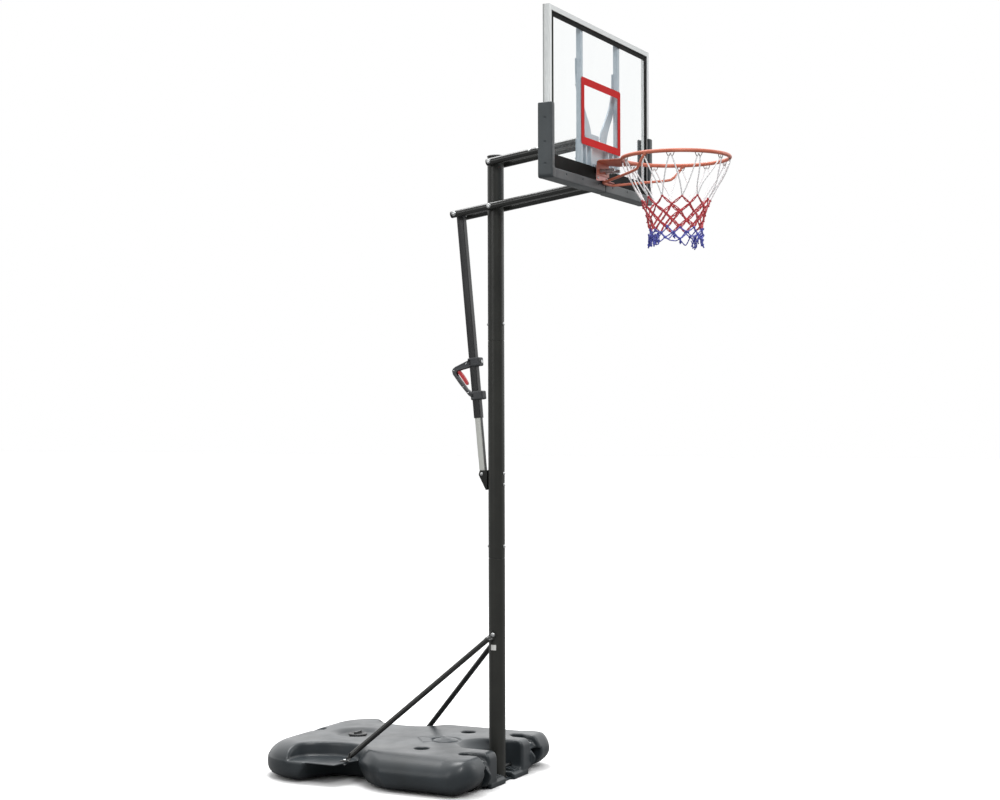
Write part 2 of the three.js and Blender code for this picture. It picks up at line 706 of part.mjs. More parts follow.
function addActuatorBracket() {
  const foot = ACTUATOR_FOOT;
  const cheek = [
    [POLE_RADIUS + 1, 1326],
    [POLE_RADIUS + 8, 1326],
    [foot.y + 15, foot.z - 4],
    [foot.y + 10, foot.z + 14],
    [POLE_RADIUS + 1, foot.z + 18],
  ];
  const plates = [-1, 1].map((s) => prism(cheek, "x", Math.min(s * 18, s * 21), Math.max(s * 18, s * 21)));
  const web = block(-20, 20, POLE_RADIUS + 1, POLE_RADIUS + 4, 1326, foot.z + 18);
  const bores = BRACKET_BOLTS.map((z) => bar(vec(0, 20, z), vec(0, 60, z), BOLT_RADIUS + 0.5, 12));
  bores.push(bar(vec(-40, foot.y, foot.z), vec(40, foot.y, foot.z), BOLT_RADIUS + 0.5, 12));
  add("actuator_bracket", cut(joined([...plates, web]), bores), blackPaint);
  ["lower", "upper"].forEach((name, i) => {
    const z = BRACKET_BOLTS[i];
    const bolt = throughBolt(vec(0, -POLE_RADIUS - GAP, z), vec(0, POLE_RADIUS + 4 + GAP, z), BOLT_RADIUS, 8);
    add("bracket_bolt_" + name, bolt, zinc);
  });
  const pin = throughBolt(vec(-21 - GAP, foot.y, foot.z), vec(21 + GAP, foot.y, foot.z), BOLT_RADIUS, 8);
  add("actuator_foot_bolt", pin, zinc);
}

// ---- backboard ----
const half = BOARD_WIDTH / 2;
const sheetFront = BOARD_FRONT + SHEET_RECESS;
const sheetBack = sheetFront + SHEET_THICKNESS;
const sheetEdge = half - FRAME_FACE + 7;
const RIM_BOLTS = { x: 50, z: 2712 };
const SPRING_BOLTS = { x: 32, z: 2745, end: -602 };

function frameMember(length) {
  const f = FRAME_FACE;
  // Section across the member: first coordinate inwards from the outer edge, second front to back.
  const section = [
    [0, BOARD_FRONT],
    [f, BOARD_FRONT],
    [f, sheetFront - 0.4],
    [f - 8, sheetFront - 0.4],
    [f - 8, sheetBack + 0.4],
    [f, sheetBack + 0.4],
    [f, BOARD_BACK],
    [0, BOARD_BACK],
  ];
  const hollow = rectangle(2, f - 10, BOARD_FRONT + 2, BOARD_BACK - 2);
  return prism(section, "z", 0, length, [hollow]);
}

function addFrame() {
  const height = BOARD_TOP - BOARD_BOTTOM;
  const upright = frameMember(height).translate([-half, 0, BOARD_BOTTOM]);
  add("frame_left", upright, aluminium);
  add("frame_right", upright.mirror([1, 0, 0]), aluminium);
  const span = BOARD_WIDTH - 2 * FRAME_FACE - 2 * GAP;
  const rail = frameMember(span).rotate([0, 90, 0]).translate([-span / 2, 0, 0]);
  add("frame_top", rail.translate([0, 0, BOARD_TOP]), aluminium);
  add("frame_bottom", rail.mirror([0, 0, 1]).translate([0, 0, BOARD_BOTTOM]), aluminium);
}

function addSheet() {
  const bottom = BOARD_BOTTOM + FRAME_FACE - 7;
  const top = BOARD_TOP - FRAME_FACE + 7;
  const holes = [];
  for (const s of [-1, 1]) {
    holes.push(bar(vec(s * RIM_BOLTS.x, -600, RIM_BOLTS.z), vec(s * RIM_BOLTS.x, -480, RIM_BOLTS.z), 5, 12));
    holes.push(bar(vec(s * SPRING_BOLTS.x, -600, SPRING_BOLTS.z), vec(s * SPRING_BOLTS.x, -480, SPRING_BOLTS.z), 5, 12));
  }
  add("clear_sheet", cut(block(-sheetEdge, sheetEdge, sheetFront, sheetBack, bottom, top), holes), clearSheet);
  return holes;
}

const PAD = { side: 566, lip: 536, front: -545, back: -478, bottom: 2657, lipTop: 2696, top: 2967, wall: 8 };

function edgePad() {
  const p = PAD;
  const side = prism(roundedRectangle(-p.side, -p.lip, p.front, p.back, 7), "z", p.bottom, p.top, [], 4);
  const foot = prism(roundedRectangle(p.front, p.back, p.bottom, p.lipTop, 6), "x", -p.side + 4, -0.4, [], 4);
  const room = block(-half - GAP, 10, BOARD_FRONT - GAP, p.back - p.wall, BOARD_BOTTOM - GAP, BOARD_TOP);
  const bracketGap = block(-95, 10, p.back - p.wall - 0.5, p.back + 5, p.bottom - 5, p.lipTop + 5);
  return cut(joined([side, foot]), [room, bracketGap]);
}

function addPads() {
  const left = edgePad();
  add("edge_pad_left", left, padPlastic);
  add("edge_pad_right", left.mirror([1, 0, 0]), padPlastic);
}

const POST = { x: 206, half: 12.5, front: sheetBack + 0.4, back: BOARD_BACK };
const PLATE_FRONT = BOARD_BACK + GAP;
const PLATE_BACK = PLATE_FRONT + 3;

function addBoardBack(boltHoles) {
  for (const side of [-1, 1]) {
    const name = side < 0 ? "left" : "right";
    const low = BOARD_BOTTOM + FRAME_FACE + GAP;
    const high = BOARD_TOP - FRAME_FACE - GAP;
    const x = side * POST.x;
    const wall = 1.5;
    const post = block(x - POST.half, x + POST.half, POST.front, POST.back, low, high).subtract(
      block(x - POST.half + wall, x + POST.half - wall, POST.front + wall, POST.back - wall, low - 5, high + 5),
    );
    add("rear_post_" + name, post, greySteel);

    const wing = new THREE.Shape();
    wing.moveTo(side * 222, 3212);
    wing.lineTo(side * 190, 3212);
    wing.quadraticCurveTo(side * 176, 3080, side * 96, 2990);
    wing.quadraticCurveTo(side * 40, 2930, side * 22, 2866);
    wing.lineTo(side * 110, 2866);
    wing.quadraticCurveTo(side * 130, 2930, side * 176, 3000);
    wing.quadraticCurveTo(side * 216, 3070, side * 222, 3212);
    add("wing_bracket_" + name, prism(wing, "y", PLATE_FRONT, PLATE_BACK, [], 6), greySteel);
  }
  const plate = block(-POST.x - POST.half, POST.x + POST.half, PLATE_FRONT, PLATE_BACK, 2700, 2862);
  const ribs = [-150, -95, 95, 150].map((x) => block(x - 9, x + 9, POST.front + 3, PLATE_FRONT + 0.5, 2704, 2858));
  const boss = block(-72, 72, POST.front + GAP, PLATE_FRONT + 0.5, 2694, 2770);
  const crossPlate = cut(joined([plate, ...ribs, boss]), boltHoles);

  const board = alongArm(ARM_LENGTH);
  const back = PLATE_BACK + GAP;
  const weld = block(-38, 38, PLATE_BACK - 0.5, back + 1, 2706, 2856);
  const cheeks = [-1, 1].map((s) => {
    const outline = [
      [back, 2668],
      [board.y + 16, 2668],
      [board.y + 20, 2690],
      [board.y + 20, 2900],
      [board.y + 12, 2908],
      [back, 2908],
    ];
    return prism(outline, "x", Math.min(s * 36, s * 39), Math.max(s * 36, s * 39));
  });
  const web = block(-38, 38, back, back + 3, 2668, 2908);
  const bores = [LOWER_PIVOT_Z, UPPER_PIVOT_Z].map((z) =>
    bar(armPoint(-60, z, ARM_LENGTH), armPoint(60, z, ARM_LENGTH), 5.5, 12),
  );
  bores.push(...[-1, 1].map((s) => bar(vec(s * SPRING_BOLTS.x, -520, 2745), vec(s * SPRING_BOLTS.x, -484, 2745), 12, 12)));
  add("board_bracket", joined([crossPlate, cut(joined([...cheeks, web, weld]), bores)]), greySteel);
}

// ---- rim ----
function addRimMount() {
  const face = sheetFront - GAP;
  const section = [
    [face, 2690],
    [face, 2768],
    [face - 3, 2768],
    [face - 3, 2700],
    [RIM_HINGE.y - 9, 2700],
    [RIM_HINGE.y - 9, 2697],
    [face - 3, 2697],
    [face - 3, 2690],
  ];
  const holes = [
    ...[-1, 1].map((s) => bar(vec(s * RIM_BOLTS.x, -600, RIM_BOLTS.z), vec(s * RIM_BOLTS.x, -500, RIM_BOLTS.z), 5, 12)),
    ...[-1, 1].map((s) => bar(vec(s * SPRING_BOLTS.x, -600, 2745), vec(s * SPRING_BOLTS.x, -500, 2745), 5, 12)),
  ];
  add("rim_mount_plate", cut(prism(section.reverse(), "x", -61, 61), holes), rimPaint);
  for (const s of [-1, 1]) {
    const name = s < 0 ? "left" : "right";
    const low = throughBolt(
      vec(s * RIM_BOLTS.x, face - 3 - GAP, RIM_BOLTS.z),
      vec(s * RIM_BOLTS.x, PLATE_BACK + GAP, RIM_BOLTS.z),
      BOLT_RADIUS,
      7,
    );
    add("rim_bolt_" + name, low, zinc);
    const bolt = joined([
      bar(vec(s * SPRING_BOLTS.x, SPRING_BOLTS.end, 2745), vec(s * SPRING_BOLTS.x, PLATE_BACK + 7, 2745), BOLT_RADIUS, 10),
      bar(vec(s * SPRING_BOLTS.x, SPRING_BOLTS.end, 2745), vec(s * SPRING_BOLTS.x, SPRING_BOLTS.end + 6, 2745), 7, 6),
      bar(vec(s * SPRING_BOLTS.x, PLATE_BACK + GAP, 2745), vec(s * SPRING_BOLTS.x, PLATE_BACK + 6, 2745), 7, 6),
    ]);
    add("rim_spring_bolt_" + name, bolt, zinc);
    const coil = spring(
      vec(s * SPRING_BOLTS.x, SPRING_BOLTS.end + 8, 2745),
      vec(s * SPRING_BOLTS.x, -536, 2745),
      7.4,
      1.4,
      7,
    );
    add("rim_spring_" + name, coil, zinc);
  }
}

function ringHook(angle) {
  const g = new THREE.TorusGeometry(10, 2, 4, 9);
  g.rotateX(Math.PI / 2);
  g.rotateZ(angle - Math.PI / 2);
  g.translate(RIM_RADIUS * Math.cos(angle), RIM_RADIUS * Math.sin(angle) + RIM_CENTRE.y, RIM_CENTRE.z - RIM_BAR - 8);
  return solid(g);
}

function addRim() {
  const ring = new THREE.TorusGeometry(RIM_RADIUS, RIM_BAR, 8, 48);
  ring.translate(0, RIM_CENTRE.y, RIM_CENTRE.z);
  const parts = [solid(ring)];
  for (let i = 0; i < HOOKS; i++) parts.push(ringHook(((i + 0.5) / HOOKS) * 2 * Math.PI));

  const flangeHalf = 112;
  const spread = Math.asin(flangeHalf / RIM_RADIUS);
  const flange = new THREE.Shape();
  flange.moveTo(-flangeHalf * 0.62, -531);
  flange.lineTo(-flangeHalf, -560);
  flange.absarc(0, RIM_CENTRE.y, RIM_RADIUS, Math.PI / 2 + spread, Math.PI / 2 - spread, true);
  flange.lineTo(flangeHalf, -560);
  flange.lineTo(flangeHalf * 0.62, -531);
  parts.push(prism(flange, "z", RIM_CENTRE.z - 3, RIM_CENTRE.z));
  const lip = block(-66, 66, -533.6, -530.6, 2724, RIM_CENTRE.z - 1);
  const slots = [-1, 1].map((s) => block(s * 32 - 6, s * 32 + 6, -540, -520, 2733, 2753));
  parts.push(cut(lip, slots));

  const brace = new THREE.CurvePath();
  const half = [vec(-227, -822, 2776), vec(-221, -799, 2744), vec(-191, -762, 2714), vec(-64, -572, 2689)];
  const corners = [...half, vec(-44, RIM_HINGE.y, RIM_HINGE.z)];
  const mirror = corners.map((p) => vec(-p.x, p.y, p.z)).reverse();
  const path = new THREE.CatmullRomCurve3([...corners, ...mirror], false, "catmullrom", 0.3);
  brace.add(path);
  parts.push(bentBar(path, 6, 36, 8));
  add("rim_ring", joined(parts), rimPaint);

  const netProfile = [
    [224, 2745],
    [212, 2722],
    [186, 2680],
    [150, 2620],
    [133, 2560],
    [126, 2480],
    [125, 2420],
  ];
  const inside = netProfile.map(([r, z]) => [r - NET_THICKNESS, z]).reverse();
  const net = turned([...netProfile, ...inside].reverse(), 24);
  add("net", net.translate([0, RIM_CENTRE.y, 0]), netCord);
}

addBase();
addWheels();
addPole();
addBraces();
addArms();
addActuatorBracket();
addActuator();
addFrame();
const boltHoles = addSheet();
addPads();
addBoardBack(boltHoles);
addRimMount();
addRim();

export default model;
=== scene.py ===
"""Looks for the portable basketball hoop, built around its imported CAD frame.

Units are metres. +Z is up, the player stands on the -Y side, and the origin is on the ground at the
pole's axis.
"""
import math
import random

import bmesh
import bpy
import numpy as np
from mathutils import Matrix, Quaternion, Vector
from mathutils.geometry import tessellate_polygon


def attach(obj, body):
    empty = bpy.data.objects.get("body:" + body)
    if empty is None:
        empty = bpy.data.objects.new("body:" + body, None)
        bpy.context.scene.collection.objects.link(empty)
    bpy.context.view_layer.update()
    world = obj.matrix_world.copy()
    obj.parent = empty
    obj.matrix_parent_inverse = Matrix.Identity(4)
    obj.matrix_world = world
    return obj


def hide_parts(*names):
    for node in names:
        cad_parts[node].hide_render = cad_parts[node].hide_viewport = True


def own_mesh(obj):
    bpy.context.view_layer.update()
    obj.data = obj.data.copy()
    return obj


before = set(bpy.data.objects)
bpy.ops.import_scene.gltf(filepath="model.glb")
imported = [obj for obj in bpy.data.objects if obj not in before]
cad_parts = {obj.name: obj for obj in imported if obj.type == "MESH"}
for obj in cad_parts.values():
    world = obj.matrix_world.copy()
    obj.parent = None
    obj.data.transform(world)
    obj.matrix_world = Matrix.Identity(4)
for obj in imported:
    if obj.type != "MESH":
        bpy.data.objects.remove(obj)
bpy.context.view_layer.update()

random.seed(7)
MM = 0.001
SIDES = ((-1, "left"), (1, "right"))


# ---------------------------------------------------------------- materials
def srgb(r, g, b, alpha=1.0):
    """A colour from 0-255 screen values as linear light."""
    linear = [
        c / 255 / 12.92 if c / 255 <= 0.04045 else ((c / 255 + 0.055) / 1.055) ** 2.4
        for c in (r, g, b)
    ]
    return (*linear, alpha)


class Look:
    """A node material being built."""

    def __init__(self, name, **surface):
        self.material = bpy.data.materials.new(name)
        self.material.use_nodes = True
        self.tree = self.material.node_tree
        self.shader = self.tree.nodes["Principled BSDF"]
        self.place = self.tree.nodes.new("ShaderNodeTexCoord").outputs["Object"]
        self.height = None
        for key, value in surface.items():
            self.put(self.shader, key.replace("_", " "), value)

    def put(self, made, key, value):
        socket = made.inputs[key]
        if isinstance(value, bpy.types.NodeSocket):
            self.tree.links.new(value, socket)
        else:
            socket.default_value = value

    def node(self, kind, inputs, out=0, **settings):
        made = self.tree.nodes.new(kind)
        for key, value in settings.items():
            setattr(made, key, value)
        for key, value in inputs.items():
            self.put(made, key, value)
        return made.outputs[out]

    def math(self, operation, a, b=0.0, c=0.0):
        return self.node("ShaderNodeMath", {0: a, 1: b, 2: c}, operation=operation)

    def stretched(self, scale):
        return self.node("ShaderNodeMapping", {"Vector": self.place, "Scale": scale})

    def noise(self, scale, detail=3.0, rough=0.55, stretch=None):
        vector = self.stretched(stretch) if stretch else self.place
        return self.node(
            "ShaderNodeTexNoise", {"Vector": vector, "Scale": scale, "Detail": detail, "Roughness": rough},
        )

    def remap(self, value, low, high, to_low=0.0, to_high=1.0):
        inputs = {0: value, 1: low, 2: high, 3: to_low, 4: to_high}
        return self.node("ShaderNodeMapRange", inputs)

    def mix(self, amount, a, b):
        return self.node("ShaderNodeMix", {0: amount, 6: a, 7: b}, out=2, data_type="RGBA")

    def edges(self, low=0.52, high=0.6):
        """1 along outside edges, 0 on flats."""
        return self.remap(self.node("ShaderNodeNewGeometry", {}, out=7), low, high)

    def bump(self, height, distance, strength=1.0):
        inputs = {"Height": height, "Distance": distance, "Strength": strength}
        if self.height is not None:
            inputs["Normal"] = self.height
        self.height = self.node("ShaderNodeBump", inputs)
        self.put(self.shader, "Normal", self.height)

    def colour(self, value):
        self.put(self.shader, "Base Color", value)

    def roughness(self, value):
        self.put(self.shader, "Roughness", value)


def painted(name, dark, light, rough, peel=0.000008, wear=None, wear_amount=0.35, metallic=0.0):
    """Sprayed or powder-coated steel: cloudy tone, orange peel, fine scratches and edges rubbed lighter."""
    look = Look(name, Metallic=metallic)
    tone = look.mix(look.remap(look.noise(9, 4), 0.35, 0.65), dark, light)
    fine = look.mix(look.remap(look.noise(160, 2), 0.3, 0.7, 0, 0.15), tone, light)
    edge = look.math(
        "MULTIPLY", look.edges(0.56, 0.64), look.remap(look.noise(70, 3), 0.42, 0.62, 0.0, wear_amount),
    )
    look.colour(look.mix(edge, fine, wear or light))
    smear = look.noise(14, 4, stretch=(1, 1, 0.25))
    grit = look.noise(260, 2)
    blend = look.math("ADD", look.math("MULTIPLY", smear, 0.85), look.math("MULTIPLY", grit, 0.15))
    look.roughness(look.remap(blend, 0.35, 0.65, rough - 0.03, rough + 0.06))
    look.bump(look.noise(700, 2), peel)
    look.bump(look.noise(60, 2), peel * 3)
    return look.material


def moulded(
    name, dark, light, rough, grain=420.0, depth=0.00006, sheen=0.5, wear=None, streak=0.0, spread=0.08,
):
    """Blow-moulded or injected plastic: pebble grain, cloudy tone, scuffs on edges and patchy gloss."""
    look = Look(name, Specular_IOR_Level=sheen)
    tone = look.mix(look.remap(look.noise(5, 4), 0.35, 0.65), dark, light)
    if streak:
        lines = look.noise(60, 3, stretch=(1, 1, 0.08))
        tone = look.mix(look.remap(lines, 0.4, 0.7, 0, streak), tone, light)
    speck = look.remap(look.noise(650, 1), 0.62, 0.72, 0, 0.12)
    tone = look.mix(speck, tone, light)
    scuff = look.math("MULTIPLY", look.edges(0.51, 0.57), look.remap(look.noise(45, 4), 0.4, 0.65, 0, 0.5))
    look.colour(look.mix(scuff, tone, wear or light))
    look.roughness(look.remap(look.noise(8, 5), 0.3, 0.7, rough - spread / 2, rough + spread))
    pebble = look.node("ShaderNodeTexVoronoi", {"Vector": look.place, "Scale": grain}, feature="SMOOTH_F1")
    look.bump(pebble, depth)
    look.bump(look.noise(24, 3), depth * 6)
    return look.material


def brushed(name, colour, rough, along, scratch=0.00002, metallic=1.0):
    """Drawn or brushed metal with streaks along one axis."""
    look = Look(name, Metallic=metallic)
    stretch = tuple(0.02 if i == along else 1.0 for i in range(3))
    lines = look.noise(1400, 4, 0.7, stretch=stretch)
    cloud = look.noise(7, 4)
    darker = tuple(c * 0.82 for c in colour[:3]) + (1,)
    tone = look.mix(look.remap(lines, 0.3, 0.7), colour, darker)
    look.colour(look.mix(look.remap(cloud, 0.4, 0.75, 0, 0.35), tone, darker))
    look.roughness(look.remap(lines, 0.3, 0.7, rough - 0.05, rough + 0.1))
    look.bump(lines, scratch)
    return look.material


def plated(name, colour, rough):
    """Zinc-plated fasteners: spangled tone and fine pitting."""
    look = Look(name, Metallic=1.0)
    crystals = look.node("ShaderNodeTexVoronoi", {"Vector": look.place, "Scale": 260.0}, out=1)
    grey = look.node("ShaderNodeRGBToBW", {0: crystals})
    darker = tuple(c * 0.7 for c in colour[:3]) + (1,)
    look.colour(look.mix(look.remap(grey, 0.1, 0.9, 0, 0.5), colour, darker))
    look.roughness(look.remap(grey, 0, 1, rough - 0.06, rough + 0.12))
    look.bump(look.noise(1500, 2), 0.00002)
    return look.material


def cord(name, dark, light, relief=0.0006):
    """Twisted cord: strands wind round it, with loose fibres. The grooves between strands are coloured
    darker than their crowns, as painted shade.
    """
    look = Look(name, Roughness=0.9, Sheen_Weight=0.4)
    along = look.node("ShaderNodeAttribute", {}, out=2, attribute_name="along")
    cosine = look.node("ShaderNodeAttribute", {}, out=2, attribute_name="turn_cos")
    sine = look.node("ShaderNodeAttribute", {}, out=2, attribute_name="turn_sin")
    phase = look.math("MULTIPLY", along, 2 * math.pi / CORD_PITCH)
    wave = look.math(
        "ADD",
        look.math("MULTIPLY", look.math("COSINE", phase), cosine),
        look.math("MULTIPLY", look.math("SINE", phase), sine),
    )
    strand = look.remap(wave, -1, 1)
    fibre = look.noise(1800, 3)
    # Colour darker in the grooves between strands and lighter on their crowns: painted shade.
    tone = look.mix(look.math("MULTIPLY", strand, look.remap(fibre, 0.3, 0.7, 0.6, 1.0)), dark, light)
    soil = look.remap(look.noise(35, 4), 0.45, 0.75, 0, 0.25)
    look.colour(look.mix(soil, tone, dark))
    look.bump(strand, relief)
    look.bump(fibre, 0.0001)
    return look.material


def clear_plastic(name):
    """A clear polymer sheet: mostly see-through, faint haze, wipe marks and fine dust."""
    look = Look(name, Base_Color=srgb(236, 242, 243), Roughness=0.06, IOR=1.5)
    wipes = look.noise(6, 5, stretch=(1, 1, 0.35))
    dust = look.remap(look.noise(900, 1), 0.7, 0.8, 0, 0.08)
    look.roughness(look.remap(wipes, 0.35, 0.65, 0.03, 0.12))
    clear = look.node("ShaderNodeBsdfTransparent", {0: (0.985, 0.992, 0.992, 1)})
    haze = look.math("ADD", look.remap(wipes, 0.3, 0.7, 0.02, 0.045), dust)
    out = look.tree.nodes["Material Output"]
    both = look.node("ShaderNodeMixShader", {0: haze, 1: clear, 2: look.shader.outputs[0]})
    look.put(out, "Surface", both)
    return look.material


CORD_PITCH = 0.016
pole_paint = painted(
    "pole_paint", srgb(34, 35, 32), srgb(42, 43, 39), 0.4, wear=srgb(84, 86, 84), wear_amount=0.25,
)
arm_paint = painted(
    "arm_paint", srgb(30, 31, 30), srgb(39, 40, 38), 0.24, wear=srgb(90, 92, 92), wear_amount=0.3,
)
base_plastic = moulded(
    "base_plastic", srgb(36, 41, 44), srgb(46, 52, 56), 0.33, depth=0.00004, wear=srgb(86, 92, 95),
)
black_plastic = moulded(
    "black_plastic", srgb(30, 31, 32), srgb(42, 43, 44), 0.42, grain=700, wear=srgb(88, 90, 92),
)
grip_plastic = moulded(
    "grip_plastic", srgb(48, 50, 53), srgb(66, 68, 71), 0.5, grain=900, wear=srgb(120, 122, 124),
)
pad_plastic = moulded(
    "pad_plastic", srgb(52, 57, 59), srgb(66, 72, 75), 0.46, grain=520, streak=0.4, wear=srgb(98, 104, 107),
)
red_plastic = moulded(
    "red_plastic", srgb(176, 30, 40), srgb(198, 46, 54), 0.3, grain=800, wear=srgb(226, 120, 120),
)
wheel_plastic = moulded(
    "wheel_plastic", srgb(18, 18, 19), srgb(30, 30, 31), 0.6, grain=260, wear=srgb(70, 70, 70),
)
label_paper = moulded(
    "label_paper", srgb(224, 224, 220), srgb(240, 240, 237), 0.45, grain=1500, depth=0.00001,
)
rear_paint = painted("rear_paint", srgb(160, 173, 183), srgb(178, 190, 199), 0.42, wear=srgb(212, 219, 224))
rim_paint = painted(
    "rim_paint", srgb(190, 100, 76), srgb(212, 122, 96), 0.38, wear=srgb(226, 168, 146), wear_amount=0.5,
)
# Pale pink, lighter than the rim's paint: the mount's own paint plus a painted highlight of light reflected
# off its front.
mount_paint_and_highlight = painted(
    "mount_paint_and_highlight", srgb(232, 164, 158), srgb(242, 182, 176), 0.36, wear=srgb(248, 210, 206),
)
alu_upright = brushed("alu_upright", srgb(212, 215, 215), 0.38, 2, metallic=0.6)
# Grey for the strips on the uprights' rear edges: painted shade of the groove there.
painted_groove_shade = moulded("painted_groove_shade", srgb(150, 152, 152), srgb(164, 166, 166), 0.5, grain=900)
actuator_paint = painted("actuator_paint", srgb(22, 23, 24), srgb(30, 31, 33), 0.42, wear=srgb(80, 82, 84))
alu_rail = brushed("alu_rail", srgb(204, 207, 207), 0.38, 0, metallic=0.6)
silver_tube = brushed("silver_tube", srgb(216, 218, 212), 0.38, 2, metallic=0.55)
zinc = plated("zinc", srgb(206, 208, 208), 0.3)
axle_steel = plated("axle_steel", srgb(120, 122, 123), 0.5)
dark_wire = painted("dark_wire", srgb(96, 84, 80), srgb(120, 108, 104), 0.4, metallic=0.6)
clear_sheet = clear_plastic("clear_sheet")
black_print = moulded(
    "black_print", srgb(10, 11, 10), srgb(17, 18, 17), 0.5, grain=1200, depth=0.00001, sheen=0.04,
    wear=srgb(22, 23, 22),
)
red_print = moulded(
    "red_print", srgb(188, 26, 28), srgb(198, 34, 34), 0.5, grain=1200, depth=0.00001, sheen=0.04,
    wear=srgb(200, 38, 38),
)
white_cord = cord("white_cord", srgb(238, 238, 240), srgb(254, 254, 254), 0.0002)
red_cord = cord("red_cord", srgb(156, 32, 44), srgb(224, 70, 78))
blue_cord = cord("blue_cord", srgb(62, 68, 154), srgb(108, 116, 220))


# ---------------------------------------------------------------- mesh tools
def grid_faces(rows, columns, close_rows=False, close_columns=True):
    faces = []
    for i in range(rows if close_rows else rows - 1):
        for j in range(columns if close_columns else columns - 1):
            a, b = i * columns + j, i * columns + (j + 1) % columns
            c, d = ((i + 1) % rows) * columns + (j + 1) % columns, ((i + 1) % rows) * columns + j
            faces.append((a, b, c, d))
    return faces


def sweep(points, radius, sides=16, closed=False, flat=None, up=None):
    """A bar along points. radius is one number or one per point; flat scales the section's axes at each."""
    points = [Vector(p) for p in points]
    count = len(points)
    radii = radius if isinstance(radius, (list, tuple)) else [radius] * count
    tangents = []
    for i in range(count):
        before = points[(i - 1) % count] if closed or i else points[i]
        after = points[(i + 1) % count] if closed or i < count - 1 else points[i]
        tangents.append((after - before).normalized())
    side = up.copy() if up else (Vector((0, 0, 1)) if abs(tangents[0].z) < 0.9 else Vector((1, 0, 0)))
    verts = []
    for i, (p, t) in enumerate(zip(points, tangents)):
        if up:
            side = up
        side = (side - t * side.dot(t)).normalized()
        across = t.cross(side)
        a, b = flat[i] if flat else (1, 1)
        for j in range(sides):
            angle = 2 * math.pi * j / sides
            u, v = a * radii[i] * math.cos(angle), b * radii[i] * math.sin(angle)
            verts.append(p + side * u + across * v)
    faces = grid_faces(count, sides, close_rows=closed)
    if not closed:
        faces += [tuple(range(sides))[::-1], tuple(range((count - 1) * sides, count * sides))]
    return verts, faces


def lathe(profile, sides=64, centre=(0, 0, 0), axis=(0, 0, 1)):
    """A profile of (radius, height) turned about an axis, closed or starting and ending on the axis."""
    turn = Vector((0, 0, 1)).rotation_difference(Vector(axis))
    verts, rings = [], []
    for r, h in profile:
        ring = []
        for j in range(1 if r == 0 else sides):
            angle = 2 * math.pi * j / sides
            ring.append(len(verts))
            verts.append(turn @ Vector((r * math.cos(angle), r * math.sin(angle), h)) + Vector(centre))
        rings.append(ring)
    if profile[0][0] > 0:
        rings.append(rings[0])
    faces = []
    for low, high in zip(rings, rings[1:]):
        for j in range(sides):
            a, b = low[j % len(low)], low[(j + 1) % len(low)]
            c, d = high[(j + 1) % len(high)], high[j % len(high)]
            face = list(dict.fromkeys((a, b, c, d)))
            if len(face) > 2:
                faces.append(tuple(face))
    return verts, faces


def crown(radius, base, rise, steps=7):
    """A rounded head's profile, from its middle out to its rim."""
    angles = [math.radians(90 * i / steps) for i in range(1, steps + 1)]
    return [(0, base + rise)] + [(radius * math.sin(a), base + rise * math.cos(a)) for a in angles]


AXES = {
    "x": lambda u, v, w: (w, u, v),
    "y": lambda u, v, w: (u, w, v),
    "z": lambda u, v, w: (u, v, w),
}


def plate(outline, axis, low, high, holes=()):
    """A flat outline with holes, thickened along an axis: (y, z) for x, (x, z) for y, (x, y) for z."""
    loops = [list(outline)] + [list(h) for h in holes]
    flat = [p for loop in loops for p in loop]
    triangles = tessellate_polygon([[Vector((u, v, 0)) for u, v in loop] for loop in loops])
    count = len(flat)
    put = AXES[axis]
    verts = [put(u, v, low) for u, v in flat] + [put(u, v, high) for u, v in flat]
    faces = [tuple(t) for t in triangles] + [tuple(i + count for i in reversed(t)) for t in triangles]
    start = 0
    for loop in loops:
        n = len(loop)
        for i in range(n):
            a, b = start + i, start + (i + 1) % n
            faces.append((a, b, b + count, a + count))
        start += n
    return verts, faces


def block(x0, x1, y0, y1, z0, z1):
    return plate([(x0, y0), (x1, y0), (x1, y1), (x0, y1)], "z", z0, z1)


def round_outline(u0, u1, v0, v1, r, steps=6):
    """A rectangle with rounded corners."""
    points = []
    for cu, cv, start in (
        (u1 - r, v0 + r, -90), (u1 - r, v1 - r, 0), (u0 + r, v1 - r, 90), (u0 + r, v0 + r, 180),
    ):
        for i in range(steps + 1):
            angle = math.radians(start + 90 * i / steps)
            points.append((cu + r * math.cos(angle), cv + r * math.sin(angle)))
    return points


def circle(cu, cv, r, steps=24):
    return [
        (cu + r * math.cos(2 * math.pi * i / steps), cv + r * math.sin(2 * math.pi * i / steps))
        for i in range(steps)
    ]


def curve(points, steps=8, closed=False):
    """A smooth line through points."""
    points = [Vector(p) for p in points]
    count = len(points)
    line = []
    for i in range(count if closed else count - 1):
        if closed:
            a, b, c, d = (points[(i + k) % count] for k in (-1, 0, 1, 2))
        else:
            a, b, c, d = (points[min(max(i + k, 0), count - 1)] for k in (-1, 0, 1, 2))
        for s in range(steps):
            t = s / steps
            line.append(
                0.5 * (
                    2 * b + (c - a) * t + (2 * a - 5 * b + 4 * c - d) * t**2 + (
                        3 * b - a - 3 * c + d
                    ) * t**3
                )
            )
    if not closed:
        line.append(points[-1])
    return line


def turned(part, matrix):
    verts, faces = part
    return [matrix @ Vector(v) for v in verts], faces


def mirrored(part):
    verts, faces = part
    return [(-v[0], v[1], v[2]) for v in verts], [tuple(reversed(f)) for f in faces]


def placed(name, mesh, material, body, replaces):
    """A new object for a mesh, riding on a CAD body and standing for the CAD nodes it replaces."""
    mesh.materials.append(material)
    mesh.shade_smooth()
    made = bpy.data.objects.new(name, mesh)
    bpy.context.scene.collection.objects.link(made)
    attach(made, body)
    if replaces:
        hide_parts(*([replaces] if isinstance(replaces, str) else replaces))
    return made


